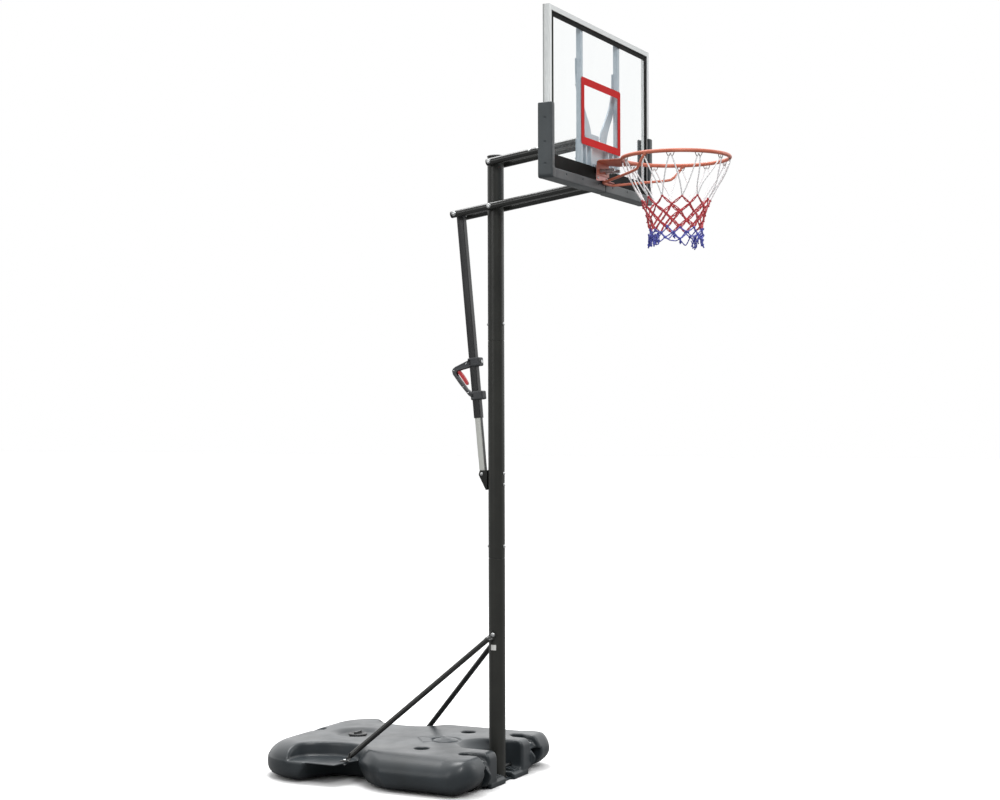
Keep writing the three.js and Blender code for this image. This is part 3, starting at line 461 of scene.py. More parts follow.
def piece(name, parts, material, body, replaces=(), bevel=0.0, segments=2, angle=30.0, tidy=True):
    """Parts joined into one object that rides on a CAD body."""
    mesh = bpy.data.meshes.new(name)
    verts, faces = [], []
    for part_verts, part_faces in parts if isinstance(parts, list) else [parts]:
        start = len(verts)
        verts.extend(tuple(v) for v in part_verts)
        faces.extend(tuple(i + start for i in f) for f in part_faces)
    mesh.from_pydata(verts, [], faces)
    if tidy:
        work = bmesh.new()
        work.from_mesh(mesh)
        bmesh.ops.remove_doubles(work, verts=work.verts, dist=1e-6)
        bmesh.ops.dissolve_limit(work, angle_limit=math.radians(0.5), verts=work.verts, edges=work.edges)
        bmesh.ops.recalc_face_normals(work, faces=work.faces)
        work.to_mesh(mesh)
        work.free()
    made = placed(name, mesh, material, body, replaces)
    mesh.set_sharp_from_angle(angle=math.radians(angle))
    if bevel:
        modifier = made.modifiers.new("edges", "BEVEL")
        modifier.width = bevel
        modifier.segments = segments
        modifier.limit_method = "ANGLE"
        modifier.angle_limit = math.radians(angle)
        modifier.harden_normals = True
    return made


# ---------------------------------------------------------------- solids from distance fields
def smooth_min(a, b, k):
    h = np.clip(0.5 + 0.5 * (b - a) / k, 0, 1)
    return b + (a - b) * h - k * h * (1 - h)


def smooth_max(a, b, k):
    return -smooth_min(-a, -b, k)


def box_distance(*spans):
    """Distance to a box from pairs of (coordinate minus centre, half size)."""
    gaps = [np.abs(c) - h for c, h in spans]
    outside = sum(np.maximum(g, 0) ** 2 for g in gaps) ** 0.5
    inside = gaps[0]
    for g in gaps[1:]:
        inside = np.maximum(inside, g)
    return outside + np.minimum(inside, 0)


def polygon_distance(x, y, points):
    """Signed distance to a closed outline, negative inside."""
    best = np.full(np.broadcast(x, y).shape, 1e9)
    sign = np.ones(best.shape)
    for i, (ax, ay) in enumerate(points):
        bx, by = points[i - 1]
        ex, ey = bx - ax, by - ay
        wx, wy = x - ax, y - ay
        t = np.clip((wx * ex + wy * ey) / (ex * ex + ey * ey), 0, 1)
        best = np.minimum(best, (wx - ex * t) ** 2 + (wy - ey * t) ** 2)
        above, before, left = y >= ay, y < by, ex * wy > ey * wx
        flip = (above & before & left) | (~above & ~before & ~left)
        sign = np.where(flip, -sign, sign)
    return sign * np.sqrt(best)


def lattice(low, high, step):
    return np.ogrid[tuple(slice(a, b, step) for a, b in zip(low, high))]


def surface(field, low, step, relax=2):
    """A quad mesh over a field's zero level, with one vertex in each cell that it crosses."""
    inside = field < 0
    cells = tuple(n - 1 for n in field.shape)
    total = np.zeros(cells + (3,), np.float32)
    count = np.zeros(cells, np.float32)
    crossings = []
    for axis in range(3):
        first = [slice(None)] * 3
        second = [slice(None)] * 3
        first[axis], second[axis] = slice(None, -1), slice(1, None)
        f0, f1 = field[tuple(first)], field[tuple(second)]
        crossed = inside[tuple(first)] != inside[tuple(second)]
        share = np.where(crossed, f0 / np.where(crossed, f0 - f1, 1), 0).astype(np.float32)
        crossings.append((crossed, inside[tuple(first)]))
        others = [k for k in range(3) if k != axis]
        for da in (0, 1):
            for db in (0, 1):
                part = [slice(None)] * 3
                part[others[0]] = slice(da, da + cells[others[0]])
                part[others[1]] = slice(db, db + cells[others[1]])
                mark = crossed[tuple(part)]
                total[..., axis] += share[tuple(part)]
                total[..., others[0]] += da * mark
                total[..., others[1]] += db * mark
                count += mark
    used = count > 0
    index = np.full(cells, -1, np.int64)
    index[used] = np.arange(used.sum())
    verts = np.argwhere(used) + total[used] / count[used][:, None]
    verts = verts * step + np.array(low)
    faces = []
    for axis, (crossed, start_inside) in enumerate(crossings):
        a, b = [k for k in range(3) if k != axis]
        where = np.argwhere(crossed)
        where = where[
            (where[:, a] > 0) & (where[:, b] > 0) & (where[:, a] < cells[a]) & (where[:, b] < cells[b])
        ]
        step_a = np.eye(3, dtype=np.int64)[a]
        step_b = np.eye(3, dtype=np.int64)[b]
        corners = [where - step_a - step_b, where - step_b, where, where - step_a]
        quad = np.stack([index[tuple(c.T)] for c in corners], 1)
        flip = start_inside[tuple(where.T)]
        if axis == 1:
            flip = ~flip
        quad[~flip] = quad[~flip][:, ::-1]
        faces.append(quad)
    faces = np.concatenate(faces)
    for _ in range(relax):
        verts = relaxed(verts, faces)
    return verts, faces


def relaxed(verts, faces, out=0.5, back=-0.52):
    """One smoothing pass that keeps the volume."""
    edges = np.concatenate([faces[:, [0, 1]], faces[:, [1, 2]], faces[:, [2, 3]], faces[:, [3, 0]]])
    count = np.bincount(edges[:, 0], minlength=len(verts)) + np.bincount(edges[:, 1], minlength=len(verts))
    for amount in (out, back):
        total = np.zeros_like(verts)
        for k in range(3):
            total[:, k] = np.bincount(edges[:, 0], verts[edges[:, 1], k], len(verts))
            total[:, k] += np.bincount(edges[:, 1], verts[edges[:, 0], k], len(verts))
        verts = verts + amount * (total / count[:, None] - verts)
    return verts


def field_piece(name, shape, material, body, replaces=()):
    """An object from (vertices, quads) arrays."""
    verts, faces = shape
    mesh = bpy.data.meshes.new(name)
    mesh.vertices.add(len(verts))
    mesh.vertices.foreach_set("co", np.ascontiguousarray(verts, np.float32).ravel())
    mesh.loops.add(faces.size)
    mesh.loops.foreach_set("vertex_index", faces.astype(np.int32).ravel())
    mesh.polygons.add(len(faces))
    mesh.polygons.foreach_set("loop_start", np.arange(0, faces.size, 4, dtype=np.int32))
    mesh.update(calc_edges=True)
    mesh.validate()
    return placed(name, mesh, material, body, replaces)


# ---------------------------------------------------------------- base
BASE_HALF = 0.467
BASE_FRONT = -0.088
BASE_REAR = 1.055
BASE_TOP = 0.163
BASE_SHOULDER = 0.074
PARTING = 0.096
FILLER_Y = 0.742
AXLE_Z = 0.051
AXLE_HALF = 0.322
WHEEL_X = 0.265
WHEEL_HALF, WHEEL_RADIUS = 0.022, 0.05

WAIST_LOW = [
    (520, 340), (467, 372), (448, 420), (410, 475), (366, 520), (318, 545),
    (288, 580), (276, 650), (286, 730), (316, 790), (370, 832), (520, 846),
]
WAIST_HIGH = [
    (520, 250), (450, 330), (410, 405), (370, 455), (328, 485), (292, 520),
    (268, 575), (262, 645), (276, 730), (312, 803), (375, 845), (520, 862),
]
LOWER_WAIST = [
    (520, 340), (467, 372), (448, 420), (410, 475), (366, 520), (318, 545),
    (300, 580), (302, 640), (330, 690), (455, 745), (520, 760),
]
LOBE_GAP = LOWER_WAIST[:6] + [(330, 556), (462, 590), (520, 592)]


def in_metres(points):
    """The outline in metres, drawn smoothly through its points."""
    return [(p.x * MM, p.y * MM) for p in curve([(x, y, 0) for x, y in points], 5)]


def base_field(x, y, z):
    ax = np.abs(x)
    middle, half = (BASE_FRONT + BASE_REAR) / 2, (BASE_REAR - BASE_FRONT) / 2
    corner = np.where(y > middle, 0.245, 0.115)
    qx, qy = ax - BASE_HALF + corner, np.abs(y - middle) - half + corner
    outer = np.minimum(np.maximum(qx, qy), 0) + np.hypot(np.maximum(qx, 0), np.maximum(qy, 0)) - corner
    nearness = np.clip((0.06 - y) / 0.1, 0, 1)
    reach = 0.12 - 0.065 * nearness
    rise = BASE_TOP - BASE_SHOULDER
    u = np.maximum(outer + reach, 0) / reach
    v = np.maximum(z - BASE_SHOULDER, 0) / rise
    shoulder = (np.hypot(u, v) - 1) * 0.075
    under = np.clip((BASE_SHOULDER - z) / 0.09, 0, 0.95)
    draft = outer + 0.036 * (1 - np.sqrt(1 - under * under))
    body = np.where(z > BASE_SHOULDER, np.maximum(shoulder, outer), draft)
    chin = np.maximum(-0.018 - y, 0)
    body = smooth_max(body, 0.012 + 0.62 * chin * np.minimum(1, np.maximum(ax - 0.2, 0) * 12) - z, 0.045)

    low = polygon_distance(ax, y, in_metres(WAIST_LOW))
    high = polygon_distance(ax, y, in_metres(WAIST_HIGH))
    share = np.clip((z - 0.101) / 0.074, 0, 1)
    share = share * share * (3 - 2 * share) * 0.5 + share * 0.5
    waist = low * (1 - share) + high * share
    body = smooth_max(body, -smooth_max(waist, 0.101 - z, 0.012), 0.014)
    lower = polygon_distance(ax, y, in_metres(LOWER_WAIST))
    lower = lower - 0.5 * np.clip(0.091 - z, 0, 0.08)
    body = smooth_max(body, -smooth_max(lower, z - 0.091, 0.008), 0.016)
    gap = polygon_distance(ax, y, in_metres(LOBE_GAP))
    body = smooth_max(body, -smooth_max(gap, z - 0.105, 0.004), 0.012)

    # The middle of the front stands back, between the outer lobes.
    body = smooth_max(body, -smooth_max(ax - 0.222, y + 0.066, 0.01), 0.014)
    # Wheel wells, open at the front and below.
    well = box_distance((ax - WHEEL_X, 0.031), (y + 0.039, 0.1), (z - 0.04, 0.064))
    body = smooth_max(body, -well, 0.01)
    # Rounded channels that run over the wells and down to the front.
    floor = 0.131 - 0.2 * np.clip(-0.01 - y, 0, 1) - 0.9 * np.clip(-0.045 - y, 0, 1)
    channel = smooth_max(np.abs(ax - 0.246) - 0.032, y - 0.03, 0.03)
    channel = smooth_max(channel, floor - z, 0.022)
    body = smooth_max(body, -channel, 0.014)
    pit = smooth_max(np.hypot(ax - 0.26, y - 0.026) - 0.033, 0.108 - z, 0.012)
    body = smooth_max(body, -pit, 0.008)
    # The pole's slot, and the scoop that rises behind it.
    end = 0.19 - 0.08 * np.clip(ax / 0.13, 0, 1) ** 2
    level = np.interp(y / end, [-9, 0.32, 0.5, 0.72, 1, 1.2], [0.034, 0.034, 0.06, 0.118, 0.164, 0.2])
    slot = smooth_max(ax - 0.128, (level - z) * 0.8, 0.02)
    body = smooth_max(body, -slot, 0.016)
    pocket = box_distance((ax, 0.043), (y + 0.08, 0.122), (z - 0.05, 0.041))
    body = smooth_max(body, -pocket, 0.006)
    # Filler dish, a small rear recess and two drain holes.
    dish = np.hypot(ax, y - FILLER_Y)
    swirl = np.interp(dish, [0, 0.05, 0.085, 0.118, 0.2], [0.143, 0.143, 0.148, 0.164, 0.2])
    body = smooth_max(body, (z - swirl) * 0.9, 0.008)
    body = smooth_max(body, 0.036 - np.hypot(dish, np.minimum(z - 0.13, 0)), 0.004)
    recess = np.hypot(ax / 1.25, y - 0.968) - 0.04
    body = smooth_max(body, -smooth_max(recess, 0.146 - z, 0.01), 0.01)
    hole = np.hypot(ax - 0.228, y - 0.268) - 0.034
    body = smooth_max(body, -smooth_max(hole, 0.122 - z, 0.006), 0.008)
    # A raised ring and wedge, moulded into the top behind the scoop.
    disc = np.hypot(ax, y - 0.268)
    dome = np.sqrt((disc / 0.058) ** 2 + ((z - 0.158) / 0.0135) ** 2) - 1
    body = smooth_min(body, dome * 0.0135, 0.003)
    body = smooth_max(body, -smooth_max(np.abs(disc - 0.065) - 0.006, 0.1575 - z, 0.002), 0.004)
    body = smooth_max(body, -smooth_max(np.abs(disc - 0.03) - 0.0025, 0.1675 - z, 0.002), 0.002)
    wedge = polygon_distance(ax, y, [(0.0, 0.415), (0.1, 0.335), (0.062, 0.300), (0.0, 0.345)])
    slope = 0.168 - 0.07 * np.clip(0.37 - y, 0, 1)
    body = smooth_min(body, smooth_max(wedge, smooth_max(z - slope, 0.15 - z, 0.002), 0.003), 0.003)
    # Lip, tongue and rear feet that stand on the ground.
    lip = box_distance((ax, 0.19), (y + 0.056, 0.008), (z - 0.012, 0.01)) - 0.002
    lip = smooth_max(lip, -(ax - 0.045), 0.002)
    body = smooth_min(body, lip, 0.004)
    tongue = box_distance((ax, 0.048), (y - 0.017, 0.061), (z - 0.0045, 0.0025)) - 0.002
    body = np.minimum(body, tongue)
    foot = box_distance((ax - 0.25, 0.05), (y - 0.91, 0.03), (z - 0.018, 0.012)) - 0.006
    body = smooth_min(body, foot, 0.006)
    # A seam bead round the side, at the mould's parting line.
    bead = 0.0009 * np.exp(-(((z - PARTING) / 0.0035) ** 2)) * np.clip((y - 0.45) * 8, 0, 1)
    seat = smooth_max(np.hypot(y, np.maximum(z - AXLE_Z, 0)) - 0.0075, ax - 0.33, 0.002)
    body = smooth_max(body, -smooth_max(seat, 0.046 - ax, 0.002), 0.002)
    return body - bead


def build_base():
    step = 0.0036
    low, high = (-0.475, -0.096, -0.006), (0.475, 1.065, 0.182)
    x, y, z = lattice(low, high, step)
    shape = surface(base_field(x, y, z), low, step, relax=3)
    field_piece("base_shell", shape, base_plastic, "base", ("base_tank", "ballast_sand"))

    cap = [
        (0, 0.121), (0.0322, 0.121), (0.0322, 0.1475), (0.0425, 0.1475), (0.0438, 0.149), (0.0438, 0.1545),
        (0.0422, 0.157), (0.036, 0.1588), (0.033, 0.1582), (0.030, 0.1565), (0, 0.1565),
    ]
    ribs = []
    for i in range(24):
        angle = 2 * math.pi * i / 24
        spin = Matrix.Rotation(angle, 4, "Z")
        rib = turned(block(0.0432, 0.0446, -0.0018, 0.0018, 0.149, 0.1545), spin)
        ribs.append(turned(rib, Matrix.Translation((0, FILLER_Y, 0))))
    grip = block(-0.029, 0.029, FILLER_Y - 0.0045, FILLER_Y + 0.0045, 0.155, 0.1665)
    piece(
        "filler_cap_knob", [
            lathe(cap, 64, (0, FILLER_Y, 0)), grip,
        ] + ribs, black_plastic, "filler_cap_body",
        "filler_cap", bevel=0.0009,
    )
    steps = []
    for side in (-1, 1):
        for i in range(6):
            y0 = -0.052 + 0.012 * i
            span = sorted((side * 0.064, side * 0.118))
            steps.append(block(*span, y0, y0 + 0.006, 0.03, 0.041 + 0.0016 * i))
    piece("slot_tread", steps, base_plastic, "base", bevel=0.0012, segments=3)


def build_wheels():
    for side, name in SIDES:
        half, radius = WHEEL_HALF, WHEEL_RADIUS
        profile = [
            (0.0064, -half), (0.0155, -half), (0.0165, -half + 0.001), (0.018, -half + 0.008), (
                0.037, -half + 0.0085,
            ),
            (0.0405, -half + 0.001), (0.0465, -half), (0.049, -half + 0.0015), (radius, -half + 0.005),
            (radius, -0.003), (0.0488, -0.0018), (0.0488, 0.0018), (radius, 0.003), (radius, half - 0.005),
            (0.049, half - 0.0015), (0.0465, half), (0.0405, half - 0.001), (0.037, half - 0.0085),
            (0.018, half - 0.008), (0.0165, half - 0.001), (0.0155, half), (0.0064, half),
        ]
        centre = Vector((side * WHEEL_X, 0, AXLE_Z))
        parts = [lathe(profile, 64, centre, (1, 0, 0))]
        for i in range(6):
            spoke = block(-half + 0.003, half - 0.003, -0.0018, 0.0018, 0.015, 0.0385)
            spin = Matrix.Translation(centre) @ Matrix.Rotation(i * math.pi / 3, 4, "X")
            parts.append(turned(spoke, spin))
        piece(
            f"wheel_{name}_tread", parts, wheel_plastic, f"wheel_{name}_body",
            f"wheel_{name}",
            bevel=0.0006,
        )
    h = AXLE_HALF
    axle = [(0, -h), (0.0052, -h), (0.006, 0.0008 - h), (0.006, h - 0.0008), (0.0052, h), (0, h)]
    piece("axle_bar", lathe(axle, 32, (0, 0, AXLE_Z), (1, 0, 0)), axle_steel, "base", "axle_rod")


# ---------------------------------------------------------------- fasteners
def hexagon(centre, axis, across, low, high):
    """A hex nut with chamfered corners."""
    r = across / math.sqrt(3)
    c = 0.12 * across
    profile = [(r - c * 0.6, low), (r, low + c * 0.35), (r, high - c * 0.35), (r - c * 0.6, high)]
    rings = [(0, low)] + profile + [(0, high)]
    return lathe(rings, 6, centre, axis)


def thread(centre, axis, radius, low, high, pitch=0.0013):
    """A threaded shank end, as stacked ridges."""
    profile = [(0, low)]
    turns = max(2, int((high - low) / pitch))
    for i in range(turns):
        z = low + (high - low) * i / turns
        profile += [(radius * 0.9, z), (radius, z + (high - low) / turns / 2)]
    profile += [(radius * 0.9, high - 0.0004), (radius * 0.75, high), (0, high)]
    return lathe(profile, 20, centre, axis)


def through_bolt(name, head, nut, radius, head_radius, body):
    """A domed carriage bolt with a washer, hex nut and thread end, in the place of its CAD bolt."""
    head, nut = Vector(head), Vector(nut)
    axis = (nut - head).normalized()
    length = (nut - head).length
    r = head_radius
    dome = crown(r * 0.98, -0.0012, -0.0036)
    dome += [
        (r * 0.98, -0.0004), (r * 0.9, -0.0001), (radius, -0.0001), (radius, length + 0.001),
        (0, length + 0.001),
    ]
    washer = [(radius, length), (r, length), (r, length + 0.0013), (radius, length + 0.0013)]
    parts = [
        lathe(dome, 32, head, axis),
        lathe(washer, 32, head, axis),
        hexagon(head, axis, head_radius * 1.36, length + 0.0013, length + 0.0062),
        thread(head, axis, radius * 0.96, length + 0.006, length + 0.0079),
    ]
    return piece(name + "_hardware", parts, zinc, body, name, angle=25)


def build_bolts():
    r = 0.0375
    gap = 0.0003
    for name, z in (("pole_joint_bolt_lower", 1.069), ("pole_joint_bolt_upper", 2.083)):
        through_bolt(name, (0, -r - gap, z), (0, r + gap, z), 0.004, 0.009, "base")
    for name, z in (("bracket_bolt_lower", 1.350), ("bracket_bolt_upper", 1.401)):
        through_bolt(name, (0, -r - gap, z), (0, r + 0.004 + gap, z), 0.004, 0.008, "base")
    through_bolt(
        "actuator_foot_bolt", (-0.0213, 0.066, 1.398), (0.0213, 0.066, 1.398), 0.004, 0.008, "base",
    )
    through_bolt("brace_top_bolt", (-0.0427, 0, 0.668), (0.0427, 0, 0.668), 0.005, 0.01, "base")
    for side, name in SIDES:
        top, bottom = (side * 0.366, 0.59, 0.1065), (side * 0.366, 0.59, 0.0907)
        through_bolt(f"brace_foot_bolt_{name}", top, bottom, 0.004, 0.009, "base")
    reach = 0.0736
    for name, pivot, distance, body in (
        ("lower_pivot_bolt", LOWER_PIVOT, 0, "base"),
        ("upper_pivot_bolt", UPPER_PIVOT, 0, "base"),
        ("board_bolt_lower", LOWER_PIVOT, ARM_LENGTH, "backboard"),
        ("board_bolt_upper", UPPER_PIVOT, ARM_LENGTH, "backboard"),
    ):
        p = arm_point(0, pivot, distance)
        through_bolt(name, (-reach, p.y, p.z), (reach, p.y, p.z), 0.005, 0.011, body)


# ---------------------------------------------------------------- pole and braces
POLE_R = 0.0375
POLE_SECTIONS = [("lower", 0.012, 1.014), ("middle", 1.016, 2.006), ("upper", 2.008, 2.846)]


def build_pole():
    for name, low, high in POLE_SECTIONS:
        wall = 0.002
        top_open = name != "upper"
        profile = [
            (POLE_R - wall, low), (POLE_R - 0.0008, low), (POLE_R, low + 0.0012),
            (POLE_R, high - 0.0012), (POLE_R - 0.0008, high),
        ]
        if top_open:
            neck = POLE_R - 0.0024
            profile += [
                (neck, high + 0.0004), (neck, high + 0.06), (neck - 0.002, high + 0.06),
                (neck - 0.002, high - 0.02),
            ]
        else:
            profile += [(POLE_R - wall, high)]
        parts = [lathe(profile, 96)]
        weld = [(0.0, POLE_R - 0.0003, low + 0.004), (0.0, POLE_R - 0.0003, high - 0.004)]
        parts.append(sweep(weld, 0.0006, 8))
        piece(f"pole_{name}_tube", parts, pole_paint, "base", f"pole_{name}")
    r = 0.039
    cap = [
        (0, 2.829), (0.0342, 2.829), (0.0349, 2.8305), (0.0349, 2.8463), (r - 0.0006, 2.8463), (r, 2.847),
    ]
    for i in range(9):
        a = math.radians(90 * i / 8)
        cap.append((r * math.cos(a) ** 0.6 if i < 8 else 0, 2.8484 + 0.0076 * math.sin(a)))
    piece(
        "pole_top_cap_dome", lathe(cap, 96), black_plastic, "base", "pole_top_cap",
        angle=50,
    )

    rows, columns = 8, 8
    verts = []
    for layer in (0.0004, 0.0009):
        for i in range(rows + 1):
            for j in range(columns + 1):
                angle = math.pi + (j / columns - 0.5) * 0.026 / POLE_R
                radius = POLE_R + layer
                verts.append(
                    (radius * math.cos(angle), radius * math.sin(angle), 0.5975 + 0.0245 * i / rows)
                )
    n = (rows + 1) * (columns + 1)
    outer = [tuple(k + n for k in f) for f in grid_faces(rows + 1, columns + 1, close_columns=False)]
    inner = [tuple(reversed(f)) for f in grid_faces(rows + 1, columns + 1, close_columns=False)]
    rim = [j for j in range(columns + 1)] + [(i + 1) * (columns + 1) - 1 for i in range(1, rows + 1)]
    rim += [rows * (columns + 1) + j for j in range(columns - 1, -1, -1)] + [
        i * (columns + 1)
        for i in range(rows - 1, 0, -1)
    ]
    sides = [(rim[i - 1], rim[i], rim[i] + n, rim[i - 1] + n) for i in range(len(rim))]
    piece(
        "blank_sticker", (verts, outer + inner + sides), label_paper, "base", "blank_label",
        tidy=False,
    )


def build_braces():
    for side, name in SIDES:
        top = Vector((side * 0.0415, 0, 0.668))
        foot = Vector((side * 0.366, 0.59, 0.104))
        run = foot - top
        points, widths = [], []
        for t in (-0.022, 0.0, 0.018, 0.034, 0.05, 0.075, 0.5, 0.93, 0.952, 0.966):
            points.append(top + run * t)
            squeeze = min(1, max(0, (t - 0.012) / 0.05))
            widths.append((1.35 - 0.35 * squeeze, 0.2 + 0.8 * squeeze))
        points[0] = Vector((side * 0.040, -0.008, 0.680))
        points[1] = Vector((side * 0.0402, 0.001, 0.668))
        points[2] = Vector((side * 0.0435, 0.010, 0.656))
        spine = curve(points, 6)
        shapes = []
        for i in range(len(spine)):
            k = i / 6
            a, b = widths[min(int(k), 9)], widths[min(int(k) + 1, 9)]
            f = k - int(k)
            shapes.append((a[0] * (1 - f) + b[0] * f, a[1] * (1 - f) + b[1] * f))
        flat_axis = Vector((0, 1, 0.4)).normalized()
        tube = sweep(spine, 0.0122, 28, flat=shapes, up=flat_axis)
        tail = curve([top + run * 0.94, top + run * 0.968, Vector((side * 0.3645, 0.5755, 0.1062)),
                      Vector((side * 0.366, 0.590, 0.1036)), Vector((side * 0.3665, 0.606, 0.1036))], 6)
        tail_flat = []
        for i in range(len(tail)):
            k = min(1, i / (len(tail) * 0.55))
            tail_flat.append((1 - 0.83 * k, 1 + 0.35 * k))
        bent = sweep(tail, 0.0122, 28, flat=tail_flat, up=Vector((0, 0, 1)))
        piece(f"brace_{name}_tube", [tube, bent], arm_paint, "base", f"brace_{name}")


# ---------------------------------------------------------------- lift arms
LOWER_PIVOT = 2.616
UPPER_PIVOT = 2.818
ARM_LENGTH = 0.466
ARM_SLOPE = math.radians(8.2)
ARM_R = 0.016
ARM_X = 0.057
LEVER = 0.18


def arm_point(x, pivot, distance):
    return Vector((x, -distance * math.cos(ARM_SLOPE), pivot + distance * math.sin(ARM_SLOPE)))


def arm_tube(x, pivot, start, end):
    axis = (arm_point(x, pivot, 1) - arm_point(x, pivot, 0)).normalized()
    wall = 0.0016
    length = end - start
    profile = [
        (ARM_R - wall, 0), (ARM_R - 0.0005, 0), (ARM_R, 0.0006), (ARM_R, length - 0.0006),
        (ARM_R - 0.0005, length), (ARM_R - wall, length),
    ]
    return lathe(profile, 56, arm_point(x, pivot, start), axis)


def build_arms():
    axis = (arm_point(0, 0, 1) - arm_point(0, 0, 0)).normalized()
    for side, name in SIDES:
        x = side * ARM_X
        lower = [arm_tube(x, LOWER_PIVOT, -LEVER - 0.017, ARM_LENGTH + 0.014)]
        piece(f"lower_arm_{name}_tube", lower, arm_paint, "lower_arms", f"lower_arm_{name}")
        upper = [arm_tube(x, UPPER_PIVOT, -0.014, ARM_LENGTH + 0.014)]
        piece(f"upper_arm_{name}_tube", upper, arm_paint, "upper_arms", f"upper_arm_{name}")
        plug = [
            (0, 0.008), (0.0138, 0.008), (0.0139, -0.0004), (0.0158, -0.0004), (0.016, -0.001),
            (0.016, -0.0028),
        ]
        plug += [(0.0152, -0.0038), (0.012, -0.0041), (0, -0.0041)]
        end = arm_point(x, LOWER_PIVOT, -LEVER - 0.017)
        piece(
            f"arm_end_plug_{name}_disc", lathe(plug, 48, end, axis), black_plastic, "lower_arms",
            f"arm_end_plug_{name}",
        )
        # Small end discs and set screws on the upper arms.
        for k, (pivot, distance, facing) in enumerate(
            ((UPPER_PIVOT, -0.014, -1), (UPPER_PIVOT, ARM_LENGTH + 0.014, 1))
        ):
            seat = [
                (0, -0.006), (0.0142, -0.006), (0.0142, 0.0002), (0.0156, 0.0004), (0.0156, 0.0014),
                (0.0146, 0.0022), (0, 0.0024),
            ]
            disc = lathe(seat, 40, arm_point(x, pivot, distance), axis * facing)
            piece(f"upper_arm_{name}_end_{k}", disc, black_plastic, "upper_arms")
        stub_at = arm_point(0, LOWER_PIVOT, -LEVER)
        out = Vector((side, 0, 0))
        dome = crown(0.0108, 0.0752, 0.0046)
        dome += [(0.0108, 0.0738), (0.005, 0.0738), (0.005, 0.0224), (0.0044, 0.022), (0, 0.022)]
        stub = [lathe(dome, 36, stub_at, out), hexagon(stub_at, out, 0.0135, 0.036, 0.0404)]
        piece(
            f"actuator_head_bolt_{name}_hardware", stub, zinc, "lower_arms",
            f"actuator_head_bolt_{name}",
            angle=25,
        )
        # A cross pin and a slotted clip near the board end of the upper arms.
        for distance, size in ((0.205, 0.0085), (0.246, 0.0068)):
            p = arm_point(x, UPPER_PIVOT, distance) + Vector((side * ARM_R * 0.78, 0, ARM_R * 0.55))
            up = Vector((side * 0.82, 0, 0.57))
            rivet = [
                (0, 0.0042), (size * 0.5, 0.0038), (size * 0.85, 0.0024), (size, 0.0006), (size, -0.003),
                (0, -0.003),
            ]
            piece(
                f"upper_arm_{name}_rivet_{int(distance * 1000)}", lathe(rivet, 24, p, up), zinc,
                "upper_arms",
            )


# ---------------------------------------------------------------- actuator
FOOT = Vector((0, 0.066, 1.398))
HEAD = Vector((0, 0.1782, 2.5903))
TILT = math.atan2(HEAD.y - FOOT.y, HEAD.z - FOOT.z)
REACH = (HEAD - FOOT).length
LEAN = Matrix.Translation(FOOT) @ Matrix.Rotation(-TILT, 4, "X")
LATCH_Z = 0.515
COLLARS = (0.361, 0.515)


def square_tube(half, wall, low, high, corner=0.003):
    outer = round_outline(-half, half, -half, half, corner, 5)
    i = half - wall
    inner = round_outline(-i, i, -i, i, max(corner - wall, 0.0006), 5)[::-1]
    return plate(outer, "z", low, high, [inner])


HANDLE_LOOP = [
    (0.0, 0.5345), (0.0194, 0.5285), (0.060, 0.5155), (0.094, 0.5045), (0.107, 0.4965), (0.1125, 0.4865),
    (0.1095, 0.470), (0.0792, 0.422), (0.0378, 0.3660), (0.02, 0.350), (0.0, 0.344), (0.0, 0.371),
    (0.022, 0.377), (0.044, 0.3965), (0.0655, 0.429), (0.0845, 0.4585), (0.0905, 0.470), (0.090, 0.478),
    (0.083, 0.4835), (0.065, 0.4865), (0.022, 0.4925), (0.0, 0.496),
]


def handle_field(x, y, z):
    """The grip loop and its two collars, in the actuator's own frame."""
    ax = np.abs(x)
    body = np.full(np.broadcast(x, y, z).shape, 1e3)
    for c in COLLARS:
        collar = box_distance((ax, 0.018), (y + 0.008, 0.024), (z - c, 0.014)) - 0.006
        body = smooth_min(body, collar, 0.004)
    loop = polygon_distance(y + x * 0, z + x * 0, HANDLE_LOOP)
    inside = np.maximum(loop + 0.005, ax - 0.0088)
    grip = np.where(
        inside < 0, inside, np.hypot(np.maximum(loop + 0.005, 0), np.maximum(ax - 0.0088, 0)),
    ) - 0.005
    body = smooth_min(body, grip, 0.006)
    # A shallow channel down each side of the loop.
    groove = smooth_max(loop + 0.0062, 0.0128 - ax, 0.001)
    body = smooth_max(body, -groove, 0.0015)
    bore = box_distance((ax, 0.0173), (y, 0.0173))
    body = np.maximum(body, -bore)
    pocket = box_distance((ax, 0.0072), (y - 0.08, 0.02), (z - 0.475, 0.0135))
    body = smooth_max(body, -pocket, 0.001)
    port = np.hypot(x, z - LATCH_Z) - 0.0055
    return np.maximum(body, -smooth_max(port, y + 0.01, 0.001))


